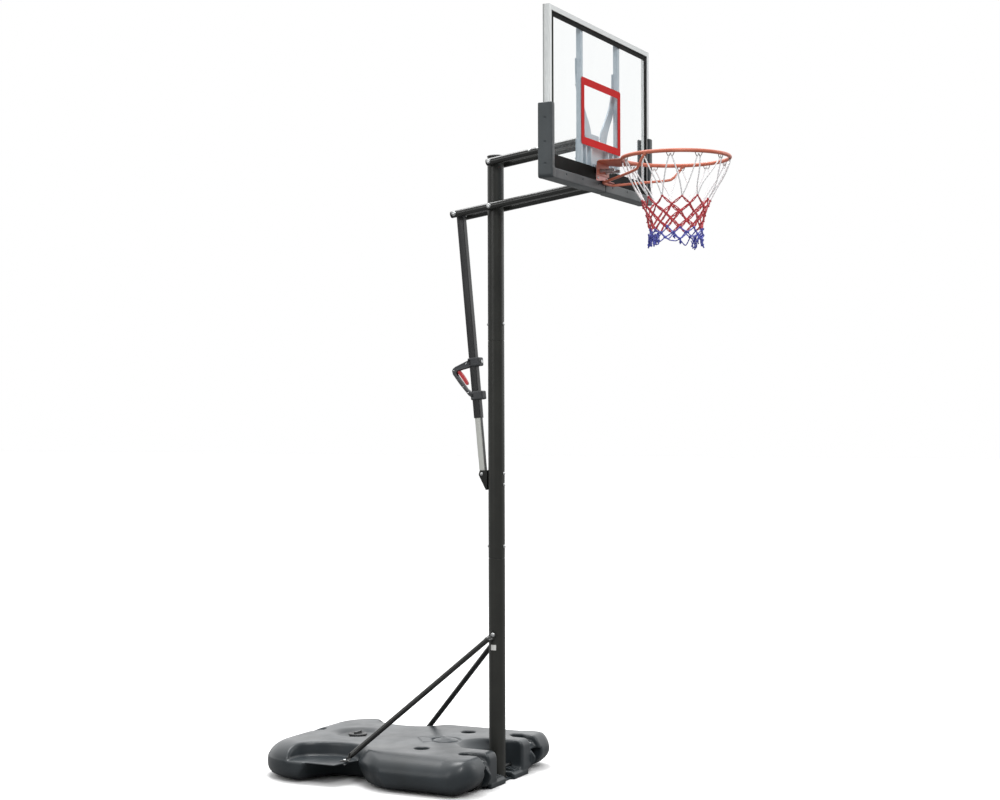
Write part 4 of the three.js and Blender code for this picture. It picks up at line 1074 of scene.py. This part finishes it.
def build_actuator():
    outer = [
        square_tube(0.017, 0.0016, 0.258, REACH + 0.014),
        lathe(
            [(0.0055, -0.021), (0.008, -0.021), (0.008, 0.021), (0.0055, 0.021)], 32, (0, 0, REACH),
            (1, 0, 0),
        ),
    ]
    outer = [turned(p, LEAN) for p in outer]
    piece(
        "actuator_sleeve", outer, actuator_paint, "actuator_upper",
        "actuator_outer_tube", bevel=0.0005,
        angle=40,
    )
    inner = turned(square_tube(0.014, 0.002, -0.013, 0.70), LEAN)
    piece(
        "actuator_strut", inner, silver_tube, "actuator_lower", "actuator_inner_tube", bevel=0.0004,
        angle=40,
    )
    # A black notched strip down the inner tube's -Y face darkens that whole face: a rack, and painted shade
    # of that face.
    dark_strip = []
    for i in range(27):
        z0 = 0.012 + 0.025 * i
        dark_strip.append(block(-0.0085, 0.0085, -0.0146, -0.0139, z0, z0 + 0.019))
    dark_strip.append(block(-0.0105, 0.0105, -0.01425, -0.0138, 0.002, 0.694))
    piece(
        "actuator_dark_strip", [turned(p, LEAN) for p in dark_strip], black_plastic, "actuator_lower",
        bevel=0.0002,
    )

    step = 0.0013
    low, high = (-0.027, -0.042, 0.33), (0.027, 0.134, 0.546)
    x, y, z = lattice(low, high, step)
    verts, faces = surface(handle_field(x, y, z), low, step, relax=2)
    rotate = np.array(LEAN)
    verts = verts @ rotate[:3, :3].T + rotate[:3, 3]
    field_piece(
        "handle_grip", (verts, faces), grip_plastic, "actuator_upper", "actuator_handle",
    )
    screws = []
    for sx in (-1, 1):
        for y0, z0 in ((0.034, 0.512), (0.1015, 0.4865), (0.060, 0.4085), (0.0375, 0.3785)):
            screw = [(0, 0.0142), (0.0022, 0.0141), (0.0027, 0.0136), (0.0027, 0.010), (0, 0.010)]
            screws.append(turned(lathe(screw, 20, (0, y0, z0), (sx, 0, 0)), LEAN))
    piece("handle_screws", screws, zinc, "actuator_upper")

    lever = curve([
        (0.0865, 0.4815, 0), (0.0755, 0.4845, 0), (0.068, 0.477, 0), (0.052, 0.4535, 0), (0.0385, 0.427, 0),
        (0.0395, 0.4165, 0), (0.0485, 0.4165, 0), (0.0635, 0.4405, 0), (0.0755, 0.4595, 0), (0.0845,
        0.4725, 0),
    ], 6, closed=True)
    outline = [(p.x, p.y) for p in lever]
    parts = [plate(outline, "x", -0.0058, 0.0058)]
    parts.append(
        lathe([(0, -0.011), (0.0025, -0.011), (0.0025, 0.011), (0, 0.011)], 24, (0, 0.08, 0.477), (1, 0, 0))
    )
    piece(
        "handle_lever", [
            turned(p, LEAN)
            for p in parts
        ], red_plastic, "trigger", "handle_trigger",
        bevel=0.0012, segments=3,
    )
    pin = [
        (0, -0.0142), (0.0042, -0.0146), (0.0044, -0.015), (0.0044, -0.0392), (0.0078, -0.0392),
        (0.008, -0.0396), (0.008, -0.0415), (0.0074, -0.042), (0, -0.042),
    ]
    pin = [(r, -h) for r, h in pin]
    piece(
        "latch_plunger", turned(lathe(pin, 28, (0, 0, LATCH_Z), (0, -1, 0)), LEAN), zinc, "latch",
        "latch_pin",
    )

    cheek = [
        (0.0385, 1.326), (0.0455, 1.326), (0.081, 1.3925), (0.0812, 1.398), (0.0765, 1.4115),
        (0.072, 1.4155), (0.0385, 1.4155),
    ]
    plates = [plate(cheek, "x", *sorted((s * 0.018, s * 0.021))) for s in (-1, 1)]
    web = plate(round_outline(-0.0195, 0.0195, 1.3265, 1.4155, 0.003), "y", 0.0385, 0.0415)
    piece(
        "actuator_bracket_plates", plates + [web], arm_paint, "base", "actuator_bracket",
        bevel=0.0006,
    )


# ---------------------------------------------------------------- backboard
HALF = 0.558
LOW, HIGH = 2.665, 3.375
FRONT, BACK = -0.531, -0.5
FACE = 0.0226
SHEET_FRONT, SHEET_BACK = -0.5253, -0.5223
RIM_BOLT_X, RIM_BOLT_Z = 0.05, 2.712
SPRING_X, SPRING_Z = 0.032, 2.745


def rim_holes(radius):
    """Holes for the rim's two fixing bolts and two spring bolts."""
    centres = ((RIM_BOLT_X, RIM_BOLT_Z), (SPRING_X, SPRING_Z))
    return [circle(s * x, z, radius)[::-1] for x, z in centres for s in (-1, 1)]


def frame_section():
    """The extrusion's outline: distance in from the outer edge, then front to back."""
    f = FACE
    return [
        (0.0008, FRONT), (f - 0.0008, FRONT), (f, FRONT + 0.0008), (f, SHEET_FRONT - 0.0004),
        (f - 0.008, SHEET_FRONT - 0.0004), (f - 0.008, SHEET_BACK + 0.0004), (f, SHEET_BACK + 0.0004),
        (f, BACK - 0.0008), (f - 0.0008, BACK), (0.0008, BACK), (0, BACK - 0.0008),
        (0, BACK - 0.0095), (0.0009, BACK - 0.0103), (0.0009, BACK - 0.0117), (0, BACK - 0.0125),
        (0, FRONT + 0.0125), (0.0009, FRONT + 0.0117), (
            0.0009, FRONT + 0.0103,
        ), (0, FRONT + 0.0095), (0, FRONT + 0.0008),
    ]


def build_frame():
    section = frame_section()
    hollow = [
        (0.002, FRONT + 0.002), (0.002, BACK - 0.002), (FACE - 0.010, BACK - 0.002),
        (FACE - 0.010, FRONT + 0.002),
    ]
    upright = plate(section, "z", LOW, HIGH, [hollow])
    left = turned(upright, Matrix.Translation((-HALF, 0, 0)))
    for name, part in (("left", left), ("right", mirrored(left))):
        piece(
            f"frame_{name}_channel", part, alu_upright, "backboard", f"frame_{name}",
            angle=40,
        )
    span = HALF - FACE - 0.0003
    for name, sign, edge in (("top", -1, HIGH), ("bottom", 1, LOW)):
        points = [(y, edge + sign * d) for d, y in section]
        inner = [(y, edge + sign * d) for d, y in hollow]
        piece(
            f"frame_{name}_channel", plate(points, "x", -span, span, [inner]), alu_rail, "backboard",
            f"frame_{name}", angle=40,
        )
    # A grey strip down the rear edge of each upright: painted shade of the groove there.
    groove_shade_strips = []
    for s in (-1, 1):
        x = sorted((s * HALF, s * (HALF + 0.0005)))
        groove_shade_strips.append(block(*x, BACK - 0.0062, BACK - 0.0006, LOW + 0.295, HIGH - 0.001))
    piece("frame_side_groove_shade_strips", groove_shade_strips, painted_groove_shade, "backboard")
    screws = []
    for sx in (-1, 1):
        for z in (LOW + 0.40, LOW + 0.62):
            head = [(0, 0.0006), (0.0022, 0.0004), (0.003, -0.0002), (0.003, -0.0012), (0, -0.0012)]
            screws.append(lathe(head, 20, (sx * HALF, -0.5155, z), (sx, 0, 0)))
        for z in (HIGH - 0.0113, LOW + 0.0113):
            head = [(0, 0.0013), (0.0026, 0.0011), (0.0036, 0.0003), (0.0036, -0.001), (0, -0.001)]
            screws.append(lathe(head, 20, (sx * (HALF - 0.0113), BACK, z), (0, 1, 0)))
    piece("frame_screws", screws, zinc, "backboard")


def ring_plate(x0, x1, z0, z1, band, y0, y1, r_out=0.004, r_in=0.002, sides=None):
    sides = sides or band
    outer = round_outline(x0, x1, z0, z1, r_out, 4)
    inner = round_outline(x0 + sides, x1 - sides, z0 + band, z1 - band, r_in, 4)[::-1]
    return plate(outer, "y", y0, y1, [inner])


def build_sheet():
    edge = HALF - FACE + 0.007
    low, high = LOW + FACE - 0.007, HIGH - FACE + 0.007
    pane = round_outline(-edge, edge, low, high, 0.003, 3)
    sheet = plate(pane, "y", SHEET_FRONT, SHEET_BACK, rim_holes(0.005))
    piece("clear_sheet_pane", sheet, clear_sheet, "backboard", "clear_sheet", angle=40)
    y0, y1 = SHEET_FRONT - 0.00028, SHEET_FRONT - 0.00004
    inner = HALF - FACE
    border = ring_plate(
        -inner - 0.004, inner + 0.004, LOW + FACE - 0.004, HIGH - FACE + 0.004, 0.0268, y0, y1,
        sides=0.0325,
    )
    piece("border_band", border, black_print, "backboard", tidy=False)
    strip = [(-0.5068, 2.7105), (0.5068, 2.7105), (0.5068, 2.757), (-0.5068, 2.757)]
    band = plate(strip, "y", y0, y1, rim_holes(0.0055))
    piece("lower_band", band, black_print, "backboard", tidy=False)
    target = ring_plate(-0.2195, 0.2195, 2.841, 3.132, 0.033, y0, y1, 0.012, 0.001)
    piece("target_rectangle", target, red_print, "backboard", tidy=False)


def pad_field(x, y, z):
    """One half of the edge pad, with its outer corner at -X."""
    side = box_distance((x + 0.551, 0.009), (y + 0.5115, 0.0275), (z - 2.8092, 0.1518)) - 0.006
    foot = box_distance((x + 0.28, 0.2735), (y + 0.5115, 0.0285), (z - 2.6738, 0.0172)) - 0.005
    body = smooth_min(side, foot, 0.006)
    # The lower outside corner is rounded, and the top end is chamfered at the front.
    round_x = np.maximum(-0.546 - x, 0)
    round_z = np.maximum(2.672 - z, 0)
    body = smooth_max(body, np.hypot(round_x, round_z) - 0.0205, 0.003)
    chamfer = (z - 2.967) * 0.94 - (y + 0.5448) * 0.34
    body = smooth_max(body, chamfer, 0.004)
    room = np.maximum(
        np.maximum(-HALF - 0.0003 - x, FRONT - 0.0003 - y), np.maximum(y + 0.4862, LOW - 0.0003 - z),
    )
    body = np.maximum(body, -room)
    notch = np.maximum(np.maximum(-0.095 - x, -0.4866 - y), z - 2.71)
    body = np.maximum(body, -notch)
    body = np.maximum(body, x + 0.0006)
    # Fixing dimples.
    for z0 in (2.71, 2.80, 2.90):
        dimple = np.sqrt((x + 0.5685) ** 2 + (y + 0.512) ** 2 + (z - z0) ** 2) - 0.0062
        body = smooth_max(body, -dimple, 0.002)
    for x0 in (-0.42, -0.25, -0.08):
        dimple = np.sqrt((x - x0) ** 2 + (y + 0.5475) ** 2 + (z - 2.68) ** 2) - 0.006
        body = smooth_max(body, -dimple, 0.002)
    return body


def build_pads():
    step = 0.0023
    low, high = (-0.572, -0.551, 2.645), (0.004, -0.472, 2.975)
    x, y, z = lattice(low, high, step)
    verts, faces = surface(pad_field(x, y, z), low, step, relax=2)
    field_piece(
        "edge_pad_left_shell", (verts, faces), pad_plastic, "backboard", "edge_pad_left",
    )
    other = verts * np.array([-1, 1, 1])
    field_piece(
        "edge_pad_right_shell", (
            other, faces[:, ::-1],
        ), pad_plastic, "backboard", "edge_pad_right"
    )


def build_rear():
    for side, name in SIDES:
        x = side * 0.206
        half, wall = 0.0125, 0.0015
        front, back = SHEET_BACK + 0.0004, BACK
        outer = round_outline(x - half, x + half, front, back, 0.002, 4)
        inner = round_outline(x - half + wall, x + half - wall, front + wall, back - wall, 0.0008, 4)[::-1]
        post = plate(outer, "z", LOW + FACE + 0.0003, HIGH - FACE - 0.0003, [inner])
        piece(
            f"rear_post_{name}_channel", post, rear_paint, "backboard", f"rear_post_{name}",
            angle=40,
        )

        left = curve([
            (0.190, 3.212, 0), (0.187, 3.15, 0), (0.172, 3.09, 0), (0.146, 3.04, 0), (0.105, 2.985, 0),
            (0.062, 2.930, 0), (0.042, 2.8665, 0),
        ], 6)
        right = curve([
            (0.11, 2.8665, 0), (0.131, 2.925, 0), (0.160, 2.975, 0), (0.19, 3.02, 0), (0.212, 3.08, 0),
            (0.2215, 3.15, 0), (0.222, 3.212, 0),
        ], 6)
        outline = [(side * p.x, p.y) for p in left + right]
        wing = plate(outline, "y", BACK + 0.0003, BACK + 0.0033)
        lip_line = [Vector((side * (p.x + 0.0012), BACK + 0.0052, p.y)) for p in left[:-3]]
        piece(
            f"wing_bracket_{name}_strap", [
                wing, sweep(lip_line, 0.0018, 10),
            ], rear_paint, "backboard",
            f"wing_bracket_{name}", bevel=0.0005,
        )
    plate_front, plate_back = BACK + 0.0003, BACK + 0.0033
    slots = [round_outline(x - 0.008, x + 0.008, 2.74, 2.82, 0.0078, 5)[::-1] for x in (-0.122, 0.122)]
    cross = plate(
        round_outline(-0.2185, 0.2185, 2.70, 2.862, 0.004, 4), "y", plate_front, plate_back,
        rim_holes(0.0052) + slots,
    )
    ribs = [
        block(s * x - 0.0085, s * x + 0.0085, SHEET_BACK + 0.0034, plate_front + 0.0006, 2.704, 2.858)
        for s in (-1, 1) for x in (0.150, 0.095)
    ]
    centres = (-RIM_BOLT_X, RIM_BOLT_X)
    boss = [
        block(x - 0.02, x + 0.02, SHEET_BACK + 0.0007, plate_front + 0.0006, 2.6945, 2.7698)
        for x in centres
    ]
    cheek = [
        (plate_back + 0.0006, 2.668), (-0.4465, 2.668), (-0.4412, 2.69), (-0.4412, 2.895), (-0.447, 2.908),
        (plate_back + 0.0006, 2.908),
    ]
    pins = [arm_point(0, pivot, ARM_LENGTH) for pivot in (LOWER_PIVOT, UPPER_PIVOT)]
    bores = [circle(p.y, p.z, 0.0054)[::-1] for p in pins]
    window = round_outline(-0.480, -0.457, 2.73, 2.845, 0.008, 5)[::-1]
    cheeks = [plate(cheek, "x", *sorted((s * 0.036, s * 0.039)), bores + [window]) for s in (-1, 1)]
    web = plate(
        round_outline(-0.038, 0.038, 2.668, 2.908, 0.002, 3), "y", plate_back + 0.0004, plate_back + 0.0034,
    )
    piece(
        "board_bracket_weldment", [cross] + ribs + boss + cheeks + [web], rear_paint, "backboard",
        "board_bracket", bevel=0.0006,
    )
    nuts = []
    for s in (-1, 1):
        for z in (3.19, 3.10):
            nuts.append(hexagon((s * 0.206, BACK + 0.0034, z), (0, 1, 0), 0.011, 0, 0.005))
        for x, z in ((0.19, 2.72), (0.19, 2.842), (0.218 - 0.005, 2.78)):
            nuts.append(hexagon((s * x, BACK + 0.0034, z), (0, 1, 0), 0.01, 0, 0.0042))
    piece("rear_nuts", nuts, zinc, "backboard", angle=25)


# ---------------------------------------------------------------- rim
RING_R = 0.2335
RING_BAR = 0.0085
RING = Vector((0, -0.876, 2.781))
HINGE = Vector((0, -0.553, 2.688))
HOOKS = 12


def build_rim_mount():
    face = SHEET_FRONT - 0.0003
    bend = 0.0022
    section = [
        (face, 2.6905), (face, 2.768), (face - 0.003, 2.768), (face - 0.003, 2.7005 + bend),
        (face - 0.003 - bend, 2.7), (HINGE.y - 0.0088, 2.7), (HINGE.y - 0.0092, 2.6985),
        (HINGE.y - 0.0088, 2.697), (face - 0.003 - bend, 2.697), (face - 0.003, 2.6905),
    ]
    shell = plate(section, "x", -0.0608, 0.0608)
    # The bracket's pale pink is partly a painted highlight.
    piece(
        "rim_mount_bracket", shell, mount_paint_and_highlight, "backboard", "rim_mount_plate", bevel=0.0005,
    )
    for s, name in SIDES:
        front, back = face - 0.0033, BACK + 0.0036
        x, z = s * RIM_BOLT_X, RIM_BOLT_Z
        through_bolt(f"rim_bolt_{name}", (x, front, z), (x, back, z), 0.004, 0.007, "backboard")
        x, z, end = s * SPRING_X, SPRING_Z, -0.602
        shaft = [(0, 0), (0.004, 0), (0.004, 0.112), (0, 0.112)]
        parts = [
            lathe(shaft, 24, (x, end, z), (0, 1, 0)),
            hexagon((x, end, z), (0, 1, 0), 0.0118, 0.0001, 0.0058),
            lathe(
                [(0.004, 0.0058), (0.0085, 0.0058), (0.0085, 0.0072), (0.004, 0.0072)], 28, (x, end, z),
                (0, 1, 0),
            ),
            hexagon((x, BACK + 0.0036, z), (0, 1, 0), 0.0118, 0, 0.0058),
        ]
        piece(
            f"rim_spring_bolt_{name}_hardware", parts, zinc, "backboard", f"rim_spring_bolt_{name}",
            angle=25,
        )
        coil = []
        turns, start, stop = 8, end + 0.0095, -0.5362
        for i in range(turns * 20 + 1):
            t = i / (turns * 20)
            angle = 2 * math.pi * turns * t
            ends = min(1, max(0, (t - 0.06) / 0.88))
            coil.append(
                (x + 0.0074 * math.cos(angle), start + (stop - start) * ends, z + 0.0074 * math.sin(angle))
            )
        made = piece(
            f"rim_spring_{name}_coil", sweep(
                coil, 0.0015, 8, up=Vector((0, 1, 0)),
            ), zinc, "backboard", f"rim_spring_{name}", angle=60
        )
        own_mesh(made)


def build_rim():
    ring = [
        RING + Vector(
            (RING_R * math.cos(2 * math.pi * i / 160), RING_R * math.sin(2 * math.pi * i / 160), 0)
        )
        for i in range(160)
    ]
    parts = [sweep(ring, RING_BAR, 24, closed=True, up=Vector((0, 0, 1)))]
    corners = [
        (-0.2275, -0.8225, 2.7765), (-0.2265, -0.813, 2.763), (-0.2215, -0.80, 2.745),
        (-0.208, -0.783, 2.7245), (-0.191, -0.762, 2.7135), (-0.125, -0.668, 2.7015),
        (-0.064, -0.572, 2.6895), (-0.046, -0.5545, 2.688), (-0.02, -0.5515, 2.688),
    ]
    other = [(-x, y, z) for x, y, z in reversed(corners)]
    parts.append(sweep(curve(corners + other, 8), 0.0058, 16))
    weld_points = [(s * 0.2275, -0.8225, 2.7745) for s in (-1, 1)]
    for wx, wy, wz in weld_points:
        parts.append(
            lathe(
                [
                    (0, -0.008), (0.006, -0.006), (0.0085, -0.001), (0.0078, 0.004), (0.004, 0.007),
                    (0, 0.008),
                ],
                20, (wx, wy, wz), (0.15, 0.2, 1),
            )
        )
    piece("rim_ring_bar", parts, rim_paint, "rim", "rim_ring", angle=50, tidy=False)

    half = 0.112
    spread = math.asin(half / RING_R)
    outline = [(-0.0695, -0.5315), (-half, -0.560)]
    for i in range(25):
        a = math.pi / 2 + spread - 2 * spread * i / 24
        outline.append((RING_R * math.cos(a), RING.y + RING_R * math.sin(a)))
    outline += [(half, -0.560), (0.0695, -0.5315)]
    top = plate(outline, "z", RING.z - 0.003, RING.z)
    centres = (-SPRING_X, SPRING_X)
    slots = [round_outline(x - 0.006, x + 0.006, 2.733, 2.753, 0.0058, 5)[::-1] for x in centres]
    lip = plate(
        round_outline(-0.0658, 0.0658, 2.7242, RING.z - 0.0008, 0.004, 4), "y", -0.5336, -0.5307, slots,
    )
    piece("rim_flange", [top, lip], rim_paint, "rim", bevel=0.0006)

    hooks = []
    for i in range(HOOKS):
        a = 2 * math.pi * (i + 0.5) / HOOKS
        out = Vector((math.cos(a), math.sin(a), 0))
        along = Vector((-math.sin(a), math.cos(a), 0))
        base = RING + out * RING_R
        half = [
            (0.004, -0.0215), (0.0065, -0.0235), (0.0095, -0.0225), (0.0145, -0.0135), (0.0165, -0.0065),
        ]
        shape = [(-u, v) for u, v in reversed(half)] + [(0, -0.0125)] + half
        hooks.append(sweep(curve([base + along * u + Vector((0, 0, v)) for u, v in shape], 4), 0.0017, 8))
    piece("net_hooks", hooks, dark_wire, "rim", angle=60)


# ---------------------------------------------------------------- net
NET_LEVELS = [2.757, 2.72, 2.68, 2.64, 2.60, 2.55, 2.50, 2.455, 2.42, 2.40]
NET_RADII = [0.2325, 0.218, 0.199, 0.174, 0.152, 0.131, 0.119, 0.114, 0.113, 0.113]
ROW_HEIGHTS = [2.600, 2.568, 2.535, 2.502, 2.470, 2.444]
RED_ROWS = 4
HOOK_TURN = 0.055  # how far round, in hooks, a cord hangs from the middle of its hook


def net_point(turn, z, push=0.0):
    """A point on the net's surface: turn counts hooks round the ring."""
    r = np.interp(-z, [-v for v in NET_LEVELS], NET_RADII) + push
    a = 2 * math.pi * (turn + 0.5) / HOOKS
    return Vector((r * math.cos(a), RING.y + r * math.sin(a), z))


class Cords:
    """Twisted cords gathered into one mesh, with the values their material winds the strands by."""

    def __init__(self):
        self.verts, self.faces, self.along, self.cos, self.sin = [], [], [], [], []

    def add(self, points, radius=0.0026, sides=10, spacing=0.003):
        line = resampled(points, spacing)
        verts, faces = sweep(line, 1.0, sides)
        start = len(self.verts)
        travelled = 0.0
        for i, p in enumerate(line):
            if i:
                travelled += (p - line[i - 1]).length
            phase = 2 * math.pi * travelled / CORD_PITCH
            for j in range(sides):
                turn = 2 * math.pi * j / sides
                bulge = 1 + 0.13 * math.cos(2 * turn - phase)
                away = verts[i * sides + j] - p
                self.verts.append(p + away * (radius * bulge))
                self.along.append(travelled)
                self.cos.append(math.cos(2 * turn))
                self.sin.append(math.sin(2 * turn))
        self.faces.extend(tuple(k + start for k in f) for f in faces)

    def knot(self, centre, size=0.0052, radius=0.0022):
        """A short coil of cord wrapped on itself."""
        lean = Vector(
            (random.uniform(-1, 1), random.uniform(-1, 1), random.uniform(-0.4, 0.4))
        ).normalized()
        turn = Vector((0, 0, 1)).rotation_difference(lean)
        points = []
        for i in range(29):
            a = 2 * math.pi * i / 12
            loop = Vector((0.62 * math.cos(a), 0.62 * math.sin(a), (i / 28 - 0.5) * 1.7))
            points.append(centre + turn @ (loop * size))
        self.add(points, radius, 8, 0.0026)

    def build(self, name, material):
        made = piece(
            name, (self.verts, self.faces), material, "rim", "net", angle=80, tidy=False,
        )
        for key, values in (("along", self.along), ("turn_cos", self.cos), ("turn_sin", self.sin)):
            attribute = made.data.attributes.new(key, "FLOAT", "POINT")
            attribute.data.foreach_set("value", values)
        return made


def resampled(points, spacing):
    """Points at an even spacing along a line."""
    points = [Vector(p) for p in points]
    lengths = [0.0]
    for a, b in zip(points, points[1:]):
        lengths.append(lengths[-1] + (b - a).length)
    count = max(2, round(lengths[-1] / spacing))
    line = []
    k = 0
    for i in range(count + 1):
        target = lengths[-1] * i / count
        while k < len(points) - 2 and lengths[k + 1] < target:
            k += 1
        span = lengths[k + 1] - lengths[k]
        line.append(points[k].lerp(points[k + 1], (target - lengths[k]) / span if span else 0))
    return line


def build_net():
    def jitter(amount):
        return random.uniform(-amount, amount)

    # Knots of the diamond mesh: rows alternate between hooks and the gaps between them.
    rows = []
    for k, height in enumerate(ROW_HEIGHTS):
        offset = 0.5 if k % 2 == 0 else 0.0
        rows.append([
            (i + offset + jitter(0.09), height + jitter(0.006), jitter(0.003)) for i in range(HOOKS)
        ])

    def knot_at(k, i):
        turn, z, push = rows[k][i % HOOKS]
        return turn + (i // HOOKS) * HOOKS, z, push

    white, red, blue = Cords(), Cords(), Cords()
    for i in range(HOOKS):
        for side in (-1, 1):
            turn, z, push = knot_at(0, i if side > 0 else i - 1)
            at = i + side * HOOK_TURN
            run = turn - at
            start = net_point(at, 2.7585, 0.001)
            bend = jitter(0.1)
            mid1 = net_point(at + run * 0.3 + bend * 0.5, 2.71 + jitter(0.006), jitter(0.004))
            mid2 = net_point(at + run * 0.68 + bend, 2.65 + jitter(0.006), jitter(0.005))
            end = net_point(turn, z, push)
            line = curve([start, mid1, mid2, end], 12)
            white.add(line, 0.003)
            if side > 0:
                loop = curve([net_point(i - HOOK_TURN, 2.7585, 0.001), net_point(i - 0.04, 2.7635, 0.0),
                              net_point(i, 2.7665, 0.0), net_point(i + 0.04, 2.7635, 0.0), start], 5)
                white.add(loop, 0.0025)
    for k in range(len(rows) - 1):
        doubled = k < RED_ROWS
        cords = red if doubled else blue
        for i in range(HOOKS):
            turn, z, push = rows[k][i]
            here = net_point(turn, z, push)
            for step in (0, 1):
                j = i + step if k % 2 == 0 else i - 1 + step
                t2, z2, p2 = knot_at(k + 1, j)
                there = net_point(t2, z2, p2)
                middle = net_point((turn + t2) / 2, (z + z2) / 2 - 0.002, jitter(0.004))
                if doubled:
                    shift = Vector((0, 0, 0.0042))
                    cords.add(curve([here, middle + shift, there], 5), 0.0023)
                    cords.add(curve([here, middle - shift, there], 5), 0.0023)
                else:
                    cords.add(curve([here, middle, there], 5), 0.0026)
            cords.knot(here, 0.006 if k else 0.0052)
    last = rows[-1]
    for i in range(HOOKS):
        turn, z, push = last[i]
        here = net_point(turn, z, push)
        blue.knot(here, 0.0068, 0.0026)
        t2, z2, p2 = knot_at(-1, i + 1)
        there = net_point(t2, z2, p2)
        sag = 0.022 + jitter(0.012)
        low = net_point((turn + t2) / 2 + jitter(0.06), (z + z2) / 2 - sag, jitter(0.006))
        drop = Vector((0, 0, 0.004))
        line = [here, here.lerp(low, 0.55) - drop, low, there.lerp(low, 0.55) - drop, there]
        blue.add(curve(line, 6), 0.0025)
        if i % 2 == 0:
            tail = here + Vector((jitter(0.008), jitter(0.008), -0.014 + jitter(0.004)))
            tip = tail + Vector((jitter(0.005), jitter(0.005), -0.012 + jitter(0.004)))
            blue.add(curve([here, tail, tip], 5), 0.0028)
            blue.knot(tail, 0.0055, 0.0024)
    for turn, spread in ((3.35, 0.5), (4.5, 0.35), (-2.6, 0.5), (-1.3, 0.3)):
        for _ in range(7):
            points = [
                net_point(turn + jitter(spread), 2.425 + jitter(0.03), jitter(0.007))
                for _ in range(4)
            ]
            blue.add(curve(points, 6), 0.0024)
        hang = net_point(turn + jitter(0.1), 2.415, 0.002)
        points = [
            hang, hang + Vector((jitter(0.004), jitter(0.004), -0.012)),
            hang + Vector((jitter(0.007), jitter(0.007), -0.024)),
        ]
        blue.add(curve(points, 5), 0.003)
        blue.knot(points[1], 0.006, 0.0026)
    white.build("net_white_cords", white_cord)
    red.build("net_red_cords", red_cord)
    blue.build("net_blue_cords", blue_cord)


# ---------------------------------------------------------------- stage
CAMERA_AT = Vector((-7.158, -3.582, 1.657))
CAMERA_HEADING = Vector((0.895, 0.446, 0))
CAMERA_LENS = 63.07
CAMERA_SHIFT = (0.0007, 0.0174)
CAMERA_ROLL = -0.0031
FLOOR_HALF = 60
LIGHTS = (
    ("key", (-4.5, -4.5, 7.0), (0, 0, 1.8), 2.6, 230),
    ("fill", (4.5, -5.0, 3.5), (0, 0, 1.8), 3.0, 45),
    ("top", (0.8, 1.5, 7.0), (0, 0, 0), 3.5, 260),
    ("side", (-6.5, 2.6, 3.6), (0, 0, 2.4), 2.8, 62),
)


def build_stage():
    scene = bpy.context.scene
    scene.view_settings.view_transform = "Standard"
    lens = bpy.data.cameras.new("camera")
    lens.lens = CAMERA_LENS
    lens.sensor_width = 36
    lens.shift_x, lens.shift_y = CAMERA_SHIFT
    lens.clip_end = 200
    camera = bpy.data.objects.new("camera", lens)
    camera.location = CAMERA_AT
    camera.rotation_mode = "QUATERNION"
    camera.rotation_quaternion = CAMERA_HEADING.to_track_quat("-Z", "Y") @ Quaternion(
        (0, 0, 1), CAMERA_ROLL,
    )
    scene.collection.objects.link(camera)
    scene.camera = camera

    floor_mesh = bpy.data.meshes.new("floor")
    size = FLOOR_HALF
    floor_mesh.from_pydata(
        [(-size, -size, 0), (size, -size, 0), (size, size, 0), (-size, size, 0)], [], [(0, 1, 2, 3)],
    )
    floor = bpy.data.objects.new("floor", floor_mesh)
    floor_look = Look("floor", Roughness=0.9, Specular_IOR_Level=0.1)
    seen = floor_look.node("ShaderNodeLightPath", {}, out=0)
    pale = floor_look.mix(
        floor_look.remap(floor_look.noise(2, 3), 0.3, 0.7), (0.9, 0.9, 0.9, 1), (0.94, 0.94, 0.94, 1),
    )
    floor_look.colour(floor_look.mix(seen, (0.22, 0.22, 0.22, 1), pale))
    floor_mesh.materials.append(floor_look.material)
    scene.collection.objects.link(floor)

    world = bpy.data.worlds.new("studio")
    scene.world = world
    world.use_nodes = True
    tree = world.node_tree
    background = tree.nodes["Background"]

    def calc(operation, a, b=0.0):
        made = tree.nodes.new("ShaderNodeMath")
        made.operation = operation
        for k, value in enumerate((a, b)):
            if isinstance(value, bpy.types.NodeSocket):
                tree.links.new(value, made.inputs[k])
            else:
                made.inputs[k].default_value = value
        return made.outputs[0]

    # A bright ceiling and a bright wall behind the hoop, dimmer on the camera's side and dark below.
    split = tree.nodes.new("ShaderNodeSeparateXYZ")
    coords = tree.nodes.new("ShaderNodeTexCoord")
    tree.links.new(coords.outputs["Generated"], split.inputs[0])
    x, y, z = split.outputs
    ahead = calc("ADD", calc("MULTIPLY", x, CAMERA_HEADING.x), calc("MULTIPLY", y, CAMERA_HEADING.y))
    wall = calc("MULTIPLY", calc("MAXIMUM", calc("ADD", ahead, 0.25), 0.0), 0.95)
    ceiling = calc("MULTIPLY", calc("POWER", calc("MAXIMUM", z, 0.0), 1.5), 1.1)
    glow = calc("ADD", calc("ADD", wall, ceiling), 0.2)
    under = calc("MINIMUM", calc("MAXIMUM", calc("ADD", calc("MULTIPLY", z, 8.0), 1.0), 0.15), 1.0)
    level = calc("MULTIPLY", glow, under)
    path = tree.nodes.new("ShaderNodeLightPath")
    seen = path.outputs["Is Camera Ray"]
    level = calc("ADD", calc("MULTIPLY", level, calc("SUBTRACT", 1.0, seen)), seen)
    tree.links.new(level, background.inputs[1])
    background.inputs[0].default_value = (1, 1, 1, 1)

    for name, at, aim, size, power in LIGHTS:
        light = bpy.data.lights.new(name, "AREA")
        light.shape = "DISK"
        light.size = size
        light.energy = power
        lamp = bpy.data.objects.new(name, light)
        lamp.location = at
        lamp.rotation_mode = "QUATERNION"
        lamp.rotation_quaternion = (Vector(aim) - Vector(at)).to_track_quat("-Z", "Y")
        scene.collection.objects.link(lamp)


for build in (
    build_base, build_wheels, build_bolts, build_pole, build_braces, build_arms, build_actuator,
    build_frame,
    build_sheet, build_pads, build_rear, build_rim_mount, build_rim, build_net, build_stage,
):
    build()
